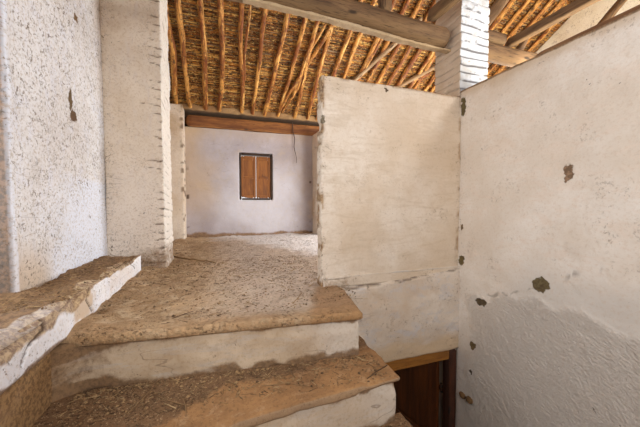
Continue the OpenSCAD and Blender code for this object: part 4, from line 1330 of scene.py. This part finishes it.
def bowed(points):
    # The tie beam and its bed sink a little at the pier and rise towards their left half
    left = 0.033 * ease(-points[:, 0], 0.7, 1.8) * ease(points[:, 0], -3.3, -2.5)
    rise = left - 0.024 * ease(points[:, 0], -1.3, -0.35)
    return points + np.column_stack([rise * 0, rise * 0, rise])


def middle(name, axis):
    # The line through the middle of a node's box
    low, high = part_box(name)
    start = [(low[k] + high[k]) / 2 for k in range(3)]
    end = list(start)
    start[axis], end[axis] = low[axis], high[axis]
    return start, end


points, faces, extra = logBetween(*middle("tie_beam", 0), 0.088, 0.086, 110, 0.010, 1, sides=36, roundEnd=0.06)
addPiece("tieBeamLog", bowed(points), faces, paints["greyWood"], ["tie_beam"], extra=extra)
low, high = corners("tie_bolster")
masonry("tie_bolster", [[[low[0], -0.030, high[2] - 0.016], [high[0], 0.030, high[2] + 0.006]]], paints["base"],
        soften=2, step=(0.02, 0.012, 0.008), relief=lambda p, n: 0.007 * rough(p, 0.07, 3, 161), shape=bowed)
timber("right_tie_log", [logBetween(*middle("right_tie_log", 0), 0.075, 0.072, 80, 0.008, 3)], "greyWood")
timber("short_log", [logBetween(*middle("short_log", 0), 0.06, 0.057, 24, 0.004, 4, roundEnd=0.04)],
       "greyWood")
timber("ridge_log", [logBetween(*middle("ridge_log", 0), 0.094, 0.09, 120, 0.008, 5)], "darkWood")
timber("ridge_post", [logBetween(*middle("ridge_post", 2), 0.05, 0.048, 60, 0.010, 7, 3, up=(0, 1, 0))],
       "greyWood")
# Two timbers from the ties down to the front plate: X, height at the tie and at the plate, half width and height
tieTimbers = [(-0.475, 4.674, 4.630, 0.040, 0.0450), (0.435, 4.609, 4.623, 0.035, 0.0375)]
parts = []
for n, (x, top, foot, wide, high) in enumerate(tieTimbers):
    path = logPath((x, 0.02, top), (x, -3.277, foot), 70, 0.006, 31 + n)
    parts.append(sweep([path], wide, high, 6, 24, (0, 0, 1), weathered, 0.02))
timber("tie_timbers", parts, "greyWood")
timber("floor_beam", [logBetween(*middle("floor_beam", 0), 0.113, 0.11, 60, 0.01, 9)], "brownWood")
timber("well_wall_cap", [logBetween(*middle("well_wall_cap", 1), 0.024, 0.021, 60, 0.006, 11)], "brownWood")


def leaning(foot, angle, reach, butt, tip, seed):
    # A brace in the plane of the tie log, leaning to the right by an angle from upright
    lean = math.radians(angle)
    end = (foot[0] + reach * math.sin(lean), 0, foot[1] + reach * math.cos(lean))
    return logBetween((foot[0], 0, foot[1]), end, butt, tip, 50, 0.010, seed, up=(0, 1, 0))


timber("roof_braces", [leaning((0.06, 4.65), 40, 2.28, 0.05, 0.045, 21),
                       leaning((0.57, 4.55), 33, 0.34, 0.038, 0.012, 22),
                       leaning((1.31, 4.54), 46, 2.52, 0.045, 0.042, 23)], "greyWood")
for name, paint in (("back_plate", "plateWood"), ("front_plate", "brownWood"), ("front_lintel", "brownWood"),
                    ("side_lintel", "brownWood")):
    timber(name, [squared(*corners(name), 90)], paint)
# A thin dry twig caught on the back plate, hanging down over it
twig = np.array([(-0.915, 3.19, 4.60), (-0.905, 3.20, 4.45), (-0.87, 3.205, 4.30), (-0.88, 3.21, 4.12),
                 (-0.845, 3.205, 4.0), (-0.835, 3.215, 3.85)])
along = np.linspace(0, 5, 40)
twig = np.column_stack([np.interp(along, np.arange(6), twig[:, k]) for k in range(3)])
twig = twig + 0.006 * np.column_stack([lattice(twig, 0.05, 106), twig[:, 0] * 0, twig[:, 0] * 0])
radius = np.linspace(0.009, 0.004, 40)
points, faces, extra = sweep([twig], radius, radius, 2, 7, (0, 1, 0))
addPiece("hangingTwig", points, faces, paints["darkWood"], extra=extra)
print("timbers made")


# Door and window

doorway = {"jamb": 0.058, "stop": 0.015, "head": 0.085, "back": -0.098, "hinge": (-0.331, -0.033), "open": -75,
           "stile": 0.09, "rails": ((0.015, 0.160), (0.816, 0.961), (1.617, 1.762)), "pintles": (0.301, 1.401)}


def gentle(grain):
    # Planed wood has about a third of a log's wear
    return weathered(grain) * 0.35


def leafTurn(points):
    # Turns the leaf from its closed place to where it stands open
    turn = math.radians(doorway["open"])
    x, y = points[:, 0], points[:, 1]
    return np.column_stack([doorway["hinge"][0] + x * math.cos(turn) - y * math.sin(turn),
                            doorway["hinge"][1] + x * math.sin(turn) + y * math.cos(turn), points[:, 2]])


def panelled(x0, x1, y0, y1, stile, rails, recess):
    # Two stiles, their rails, and a thinner board in each space between the rails that runs in under them
    ends = rails[0][0], rails[-1][1]
    parts = [squared([x, y0, ends[0]], [x + stile, y1, ends[1]], 40, 12, 0.001, gentle)
             for x in (x0, x1 - stile)]
    for low, high in rails:
        parts.append(squared([x0 + stile * 0.9, y0 + 0.001, low], [x1 - stile * 0.9, y1 - 0.001, high],
                             16, 12, 0.0, gentle))
    for (_, low), (high, _) in zip(rails[:-1], rails[1:]):
        parts.append(squared([x0 + stile * 0.5, y0 + recess[0], low - 0.02],
                             [x1 - stile * 0.5, y1 - recess[1], high + 0.02], 16, 14, 0.0, gentle))
    return joined(parts)


def framePost(x0, x1, inner):
    # A jamb with the rebate that the leaf shuts into: a wide front half and a narrower back half
    low, high = corners("door_frame")
    stop = doorway["stop"] * inner
    front = sorted([x0 if inner > 0 else x0 + stop, x1 + stop if inner > 0 else x1])
    return [squared([front[0], low[1], 0], [front[1], doorway["back"], high[2]], 50),
            squared([x0, doorway["back"] - 0.004, 0], [x1, high[1], high[2]], 50)]


low, high = corners("door_frame")
jamb, headZ = doorway["jamb"], high[2] - doorway["head"]
head = [squared([low[0] + jamb, low[1] + 0.002, headZ - doorway["stop"]],
                [high[0] - jamb, doorway["back"], high[2]], 30),
        squared([low[0] + jamb, doorway["back"] - 0.004, headZ], [high[0] - jamb, high[1] - 0.002, high[2]], 30)]
timber("door_frame", framePost(low[0], low[0] + jamb, 1) + head, "frameWood")
# The right jamb gets a much darker wood than the rest of the frame: painted shade
points, faces, extra = joined(framePost(high[0] - jamb, high[0], -1))
addPiece("doorJambShadedWood", points, faces, paints["shadedJambWood"], ["door_frame"], extra=extra)
points, faces, extra = panelled(-0.701, -0.007, -0.052, -0.012, doorway["stile"], doorway["rails"], (0.011, 0.011))
addPiece("doorLeafBoards", leafTurn(points), faces, paints["doorWood"], ["door_leaf"],
         "stair_door", extra)
straps = [squared([-0.085, -0.012, z + 0.01], [-0.008, -0.006, z + 0.05], 14, 12, 0.0, gentle)
          for z in doorway["pintles"]]
straps += [sweep([logPath((0, 0, z), (0, 0, z + 0.06), 6)], 0.0145, 0.0145, 2, 18, (0, 1, 0), None, 0.002)
           for z in doorway["pintles"]]
points, faces, extra = joined(straps)
addPiece("doorLeafIron", leafTurn(points), faces, paints["iron"], ["door_leaf"], "stair_door", extra)

low, high = corners("window_frame")
wide = 0.035
uprights = [squared([x, low[1], low[2]], [x + wide, high[1], high[2]], 30) for x in (low[0], high[0] - wide)]
levels = [squared([low[0] + wide, low[1] + 0.002, z], [high[0] - wide, high[1], z + wide], 24)
          for z in (low[2], high[2] - wide)]
timber("window_frame", uprights + levels, "darkWood")


def shrunk(points, low, high, corner):
    # A shutter that has dropped a little at its head, and whose lower outer corner has worn off
    dropped = 0.013
    z = points[:, 2] - dropped * ease(points[:, 2], high[2] - 0.3, high[2])
    outer = ease(np.abs(points[:, 0] - corner), 0.14, 0.02)
    return np.column_stack([points[:, :2], z + dropped * outer * ease(points[:, 2], low[2] + 0.2, low[2])])


for name in ("shutter_left", "shutter_right"):
    low, high = corners(name)
    rails = [(low[2], low[2] + 0.05), (low[2] + 0.35, low[2] + 0.40), (high[2] - 0.076, high[2])]
    points, faces, extra = panelled(low[0], high[0], low[1], high[1], 0.045, rails, (0.008, 0.002))
    points = shrunk(points, low, high, low[0] if name == "shutter_left" else 9)  # 9 lies past every corner
    addPiece(name + "Boards", points, faces, paints["shutterWood"], [name], extra=extra)
print("door and window made")


# Roof poles

roofPoles = {"step": 0.205, "butt": 0.039, "tip": 0.032, "rings": 64, "sides": 14, "eave": 3.915}
# The poles over the stair by the X of their feet, with their bends as places along Y and X
bends = {
    -2.879: [(3.19, -2.879), (2.6, -2.81), (2.2, -2.80), (0, -2.78)],
    -2.668: [(3.22, -2.668), (2.66, -2.662), (1.83, -2.654), (0, -2.64)],
    -2.430: [(3.28, -2.430), (2.62, -2.391), (1.78, -2.397), (0, -2.41)],
    -2.191: [(3.21, -2.191), (2.66, -2.129), (1.74, -2.154), (0, -2.18)],
    -1.831: [(3.25, -1.831), (2.79, -1.812), (2.31, -1.898), (1.69, -1.90), (0, -1.93)],
    -1.624: [(3.25, -1.624), (2.58, -1.619), (1.64, -1.613), (0, -1.60)],
    -1.414: [(3.20, -1.414), (2.73, -1.356), (1.70, -1.315), (0, -1.34)],
    -1.174: [(3.21, -1.174), (2.69, -1.108), (1.69, -1.067), (0, -1.09)],
    -0.838: [(3.24, -0.838), (2.48, -0.886), (1.72, -0.903), (0, -0.88)],
    -0.604: [(3.24, -0.604), (2.59, -0.645), (1.70, -0.674), (0, -0.67)],
}
# Branches of those poles, likewise
branches = [
    [(2.72, -1.817), (2.31, -1.845), (2.03, -1.814), (1.67, -1.803)],
    [(3.21, -1.115), (2.76, -0.921), (2.40, -0.909)],
    [(2.25, -0.916), (2.0, -0.841), (1.76, -0.763)],
]
# Poles put in aslant between the others, as places along Y and X
crossing = [[(1.75, 0.15), (2.355, 0.083)], [(2.137, 1.344), (2.359, 1.05)],
            [(1.739, -0.659), (3.241, -1.203)],
            [(1.742, -0.88), (2.915, -0.996)]]
pale = [[(1.45, 0.62), (1.697, 0.464), (2.397, 0.029), (2.6, -0.09)],
        [(1.9, 1.47), (2.059, 1.297), (2.35, 0.98), (2.6, 0.71)]]


def knobbly(grain):
    # A pole keeps the lumps where its branches were cut
    knots = ease(lattice(grain * np.array([1, 0.4, 0.4]), 0.11, 145), 0.5, 0.85)
    return 0.07 * lattice(grain, 0.3, 143) + 0.05 * lattice(grain, 0.07, 144) + 0.2 * knots


def poleLine(knots, side, lowest, highest, rings, seed):
    # A pole lies on the plane of the roof, its bends given by a few points and slow waves between
    knots = sorted(knots)
    y = np.linspace(lowest, highest, rings)
    x = np.interp(y, [k[0] for k in knots], [k[1] for k in knots])
    x = np.convolve(np.pad(x, 4, mode="edge"), np.ones(9) / 9, "valid")
    spots = np.column_stack([y, y * 0 + seed * 3.7, y * 0])
    wave = 0.014 * lattice(spots, 0.45, 141) + 0.007 * lattice(spots, 0.16, 142)
    sag = 0.006 * lattice(spots, 0.5, 146)
    return np.column_stack([x + wave, y * side, ridgeZ - y * roofSlope + sag])


def poleSet(side):
    # The poles of one slope, and on the back slope the branches and slim poles between them
    low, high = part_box("back_poles")
    feet = list(bends) if side > 0 else []
    line = low.x + 0.05
    while line < high.x:
        if side < 0 or line > -0.45:
            feet.append(line + chance.uniform(-0.03, 0.03))
        line += roofPoles["step"]
    paths = []
    for n, foot in enumerate(feet):
        loose = [(3.3, foot), (1.8, foot + chance.uniform(-0.05, 0.05)),
                 (0, foot + chance.uniform(-0.03, 0.03))]
        knots = bends[foot] if side > 0 and foot in bends else loose
        paths.append(poleLine(knots, side, 0.03, roofPoles["eave"], roofPoles["rings"], n))
    paths = np.array(paths)
    many, rings = paths.shape[:2]
    t = np.linspace(0, 1, rings)
    t = np.where((np.arange(many) % 2 == 0)[:, None], t, 1 - t)
    radius = roofPoles["tip"] + (roofPoles["butt"] - roofPoles["tip"]) * t
    radius = radius * chance.uniform(0.9, 1.12, (many, 1))
    paths[:, :, 2] += radius * roofRise
    parts = [sweep(paths, radius, radius, 2, roofPoles["sides"], (1, 0, 0), knobbly, 0.02)]
    slim = [(line, 0.016, 0.024) for line in branches] + [(line, 0.026, 0.033) for line in crossing]
    for n, (line, tip, butt) in enumerate(slim if side > 0 else []):
        path = poleLine(line, side, min(k[0] for k in line), max(k[0] for k in line), 24, 40 + n)
        path[:, 2] += 0.03
        radius = np.linspace(tip, butt, 24)
        parts.append(sweep([path], radius, radius, 2, 12, (1, 0, 0), knobbly, 0.02))
    return joined(parts)


for name, side in (("back_poles", 1), ("front_poles", -1)):
    points, faces, extra = poleSet(side)
    addPiece(name + "Wood", points, faces, paints["poleWood"], [name], extra=extra)
palePaths = np.array([poleLine(line, 1, line[0][0], line[-1][0], 40, 60 + n) for n, line in enumerate(pale)])
palePaths[:, :, 2] += 0.02
points, faces, extra = sweep(palePaths, 0.036, 0.034, 2.4, 16, (1, 0, 0), knobbly, 0.02)
addPiece("palePoles", points, faces, paints["palePole"], ["back_poles"], extra=extra)
print("roof poles made")


# Canes and the earth on them

canes = {"thick": 0.019, "spacing": 0.0195, "shortest": 0.15, "longest": 1.0, "rings": 5, "sides": 5}
layers = {"canes": 0.0766, "bed": 0.0960, "tiles": 0.1630}


def caneSet(side):
    # Rows of canes across the poles, each row a chain of canes that meet end to end
    deckLow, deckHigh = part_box("back_roof_deck")
    lines = []
    y = 0.02
    while y < deckHigh.y - 0.01:
        x = deckLow.x + chance.uniform(0, 0.05)
        while x < deckHigh.x - 0.1:
            end = min(x + chance.uniform(canes["shortest"], canes["longest"]), deckHigh.x - 0.005)
            lines.append((x, end, y, *chance.uniform(-0.009, 0.009, 2), *chance.uniform(0.0, 0.010, 2)))
            x = end + chance.uniform(0.004, 0.02)
        y += canes["spacing"] * math.cos(roofPitch)
    lines = np.array(lines)
    t = np.linspace(0, 1, canes["rings"])[None, :]
    x = lines[:, :1] + (lines[:, 1:2] - lines[:, :1]) * t
    y = lines[:, 2:3] + lines[:, 3:4] * (1 - t) + lines[:, 4:5] * t
    sag = lines[:, 5:6] * (1 - t) + lines[:, 6:7] * t
    z = ridgeZ - y * roofSlope + layers["canes"] * roofRise + canes["thick"] / 2 + sag - 0.002
    radius = canes["thick"] / 2 * chance.uniform(0.6, 1.1, (len(lines), 1)) * np.ones_like(t)
    return sweep(np.stack([x, y * side, z], axis=2), radius, radius, 2, canes["sides"], (0, 0, 1))


def bedSlab(side):
    # The earth on the canes, a slab that follows the slope
    low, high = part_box("back_roof_deck")
    slab = [[low.x, 0.0, layers["bed"]], [high.x, high.y, layers["tiles"] - 0.001]]
    points, quads = cellSurface([slab], [], (0.12, 0.12, 0.04), {})
    points = points + pointNormals(points, quads) * (0.003 * rough(points, 0.1, 2, 151) - 0.003)[:, None]
    z = ridgeZ - points[:, 1] * roofSlope + points[:, 2] * roofRise
    faces = quads if side > 0 else quads[:, ::-1]
    return np.column_stack([points[:, 0], points[:, 1] * side, z]), faces.tolist()


for name, side in (("back_roof_deck", 1), ("front_roof_deck", -1)):
    points, faces, extra = caneSet(side)
    addPiece(name + "Canes", points, faces, paints["cane"], [name], extra=extra)
    points, faces = bedSlab(side)
    addPiece(name + "Earth", points, faces, paints["bedEarth"], [name])
print("canes made")


# Clay tiles

tiles = {"length": 0.46, "show": 0.335, "wide": 0.096, "narrow": 0.074, "thick": 0.013, "spacing": 0.215}


def tileShells(starts, ahead, outward, turned, flatten=0.72, size=tiles):
    # A tile is half a cone: an arc that narrows up the slope, with an inner arc one thickness in
    arc = np.linspace(0, np.pi, 8)
    along = np.array([0.0, 0.5, 1.0])
    wide = size["wide"] + (size["narrow"] - size["wide"]) * (along[::-1] if turned else along)
    flip = -1.0 if turned else 1.0
    sideways = np.cross(ahead, outward)
    ring = []
    for inset in (0.0, size["thick"]):
        radius = wide[:, None] - inset
        across = radius * np.cos(arc) * flip
        upward = (wide[:, None] * flatten - inset) * np.sin(arc) * flip
        ring.append(across[..., None] * sideways + upward[..., None] * outward)
    outer, inner = ring
    section = np.concatenate([outer, inner[:, ::-1]], axis=1)
    section = section + (along * size["length"])[:, None, None] * ahead
    many, count = len(starts), section.shape[0] * section.shape[1]
    points = starts[:, None, None, :] + section[None]
    ids = np.arange(many * count).reshape(many, section.shape[0], section.shape[1])
    beside = np.roll(ids, -1, axis=2)
    quads = np.stack([ids[:, :-1], beside[:, :-1], beside[:, 1:], ids[:, 1:]], axis=3).reshape(-1, 4)
    caps = []
    for end, order in ((0, 1), (-1, -1)):
        a, b = ids[:, end, :7], ids[:, end, 1:8]
        c, d = ids[:, end, ::-1][:, 1:8], ids[:, end, ::-1][:, :7]
        caps.append(np.stack([a, d, c, b][::order], axis=2).reshape(-1, 4))
    tone = np.repeat(chance.uniform(0, 1, many), count)
    return points.reshape(-1, 3), np.concatenate([quads, *caps]).tolist(), {"tone": tone}


def tileSlope(side):
    # Rows of tiles up a slope: channels that lie open, and covers over the gaps between them
    low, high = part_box("back_tiles")
    ahead = np.array([0, -side * math.cos(roofPitch), math.sin(roofPitch)])
    outward = np.array([0, side * math.sin(roofPitch), math.cos(roofPitch)])
    columns = int((high.x - low.x - 0.2) / tiles["spacing"])
    rows = int(high.y / math.cos(roofPitch) / tiles["show"])
    first = (low.x + high.x) / 2 - (columns - 1) / 2 * tiles["spacing"]
    eave = np.array([0, side * high.y, ridgeZ - high.y * roofSlope + layers["tiles"] * roofRise])
    parts = []
    for turned, lift, shift, flatten in ((True, 0.062, 0.0, 0.62), (False, 0.006, 0.5, 0.70)):
        row, column = np.meshgrid(np.arange(rows), np.arange(columns + (0 if turned else 1)), indexing="ij")
        jitter = chance.uniform(-0.006, 0.006, (2, row.size))
        x = first + (column.ravel() - shift) * tiles["spacing"] + jitter[0]
        up = (row.ravel() * tiles["show"] + jitter[1] + 0.012)[:, None] * ahead
        starts = eave + up + outward * lift + x[:, None] * np.array([1, 0, 0])
        parts.append(tileShells(starts, ahead, outward, turned, flatten))
    return joined(parts)


for name, side in (("back_tiles", 1), ("front_tiles", -1)):
    points, faces, extra = tileSlope(side)
    addPiece(name + "Clay", points, faces, paints["tile"], [name], extra=extra)
low, high = corners("ridge_tiles")
ridgeTiles = {"length": 0.44, "show": 0.365, "wide": 0.148, "narrow": 0.128, "thick": 0.015}
starts = np.arange(low[0] + 0.004, high[0] - ridgeTiles["length"], ridgeTiles["show"])
starts = np.column_stack([starts, chance.uniform(-0.004, 0.004, len(starts)), starts * 0 + low[2] + 0.004])
points, faces, extra = tileShells(starts, np.array([1.0, 0, 0]), np.array([0, 0, 1.0]), False, 1.0, ridgeTiles)
addPiece("ridgeTilesClay", points, faces, paints["tile"], ["ridge_tiles"], extra=extra)
print("tiles made")


# Camera, floor and lamps

view = {"place": (-2.175, -2.05, 3.10), "turn": 18.95, "tip": -2.2, "roll": 0.14, "lens": 16.0}
cameraData = bpy.data.cameras.new("photoCamera")
cameraData.lens = view["lens"]
cameraData.sensor_width = 36
camera = bpy.data.objects.new("photoCamera", cameraData)
bpy.context.scene.collection.objects.link(camera)
camera.matrix_world = (Matrix.Translation(view["place"]) @ Matrix.Rotation(math.radians(-view["turn"]), 4, "Z")
                       @ Matrix.Rotation(math.radians(90 + view["tip"]), 4, "X")
                       @ Matrix.Rotation(math.radians(-view["roll"]), 4, "Z"))
bpy.context.scene.camera = camera

groundMesh = bpy.data.meshes.new("ground")
groundCorners = [(x, y, -0.002) for x, y in ((-40, -40), (40, -40), (40, 40), (-40, 40))]
groundMesh.from_pydata(groundCorners, [], [(0, 1, 2, 3)])
ground = bpy.data.objects.new("ground", groundMesh)
bpy.context.scene.collection.objects.link(ground)
groundPaint = Paint("paleGround", 0.9)
groundPaint.shader.inputs["Base Color"].default_value = (0.78, 0.77, 0.75, 1)
groundMesh.materials.append(groundPaint.material)

lamps = {
    "frontRight": {"at": (0.43, -1.9, 4.9), "look": (-2.0, 0.2, 3.2), "size": (0.5, 0.5), "power": 23,
                   "colour": (1.0, 0.98, 0.95)},
    "frontSky": {"at": (-1.6, -3.15, 3.85), "look": (-1.6, 1.0, 3.3), "size": (2.4, 0.9), "power": 50,
                 "colour": (0.97, 0.98, 1.0)},
    "sideSky": {"at": (-3.45, -0.9, 3.6), "look": (-0.3, -0.9, 3.2), "size": (1.0, 1.3), "power": 13,
                "colour": (0.93, 0.96, 1.0)},
    "atticRight": {"at": (2.3, 1.6, 3.8), "look": (-2.0, 1.9, 1.9), "size": (1.6, 1.4), "power": 118,
                   "colour": (0.96, 1.0, 1.04)},
    "rightBay": {"at": (1.6, -1.5, 3.2), "look": (1.2, 1.5, 5.2), "size": (1.4, 1.2), "power": 126,
                 "colour": (1.0, 0.94, 0.82)},
    "gable": {"at": (0.9, -0.6, 4.0), "look": (3.1, 0.3, 5.4), "size": (0.8, 0.8), "power": 34,
              "colour": (1.0, 0.96, 0.85)},
    "backRight": {"at": (0.5, 1.5, 3.5), "look": (-1.3, 2.9, 2.5), "size": (0.7, 0.7), "power": 22,
                  "colour": (0.95, 0.98, 1.05)},
    "groundRoom": {"at": (-1.2, 1.3, 1.5), "look": (-0.5, 0.0, 1.3), "size": (0.8, 0.8), "power": 1.2,
                   "colour": (1.0, 0.95, 0.88)},
}
for name, lamp in lamps.items():
    light = bpy.data.lights.new(name, "AREA")
    light.shape = "RECTANGLE"
    light.size, light.size_y = lamp["size"]
    light.energy = lamp["power"]
    light.color = lamp["colour"]
    holder = bpy.data.objects.new(name, light)
    bpy.context.scene.collection.objects.link(holder)
    aim = Vector(lamp["look"]) - Vector(lamp["at"])
    holder.matrix_world = Matrix.Translation(lamp["at"]) @ aim.to_track_quat("-Z", "Y").to_matrix().to_4x4()

world = bpy.data.worlds.new("studioSky")
world.use_nodes = True
world.node_tree.nodes["Background"].inputs["Color"].default_value = (1, 1, 1, 1)
world.node_tree.nodes["Background"].inputs["Strength"].default_value = 1.0
bpy.context.scene.world = world
bpy.context.scene.view_settings.view_transform = "Standard"
print("stage made")

for name, paint in (("floor_joists", "joistWood"), ("door_pintles", "iron")):
    cadNodes[name].data.materials.clear()
    cadNodes[name].data.materials.append(paints[paint])
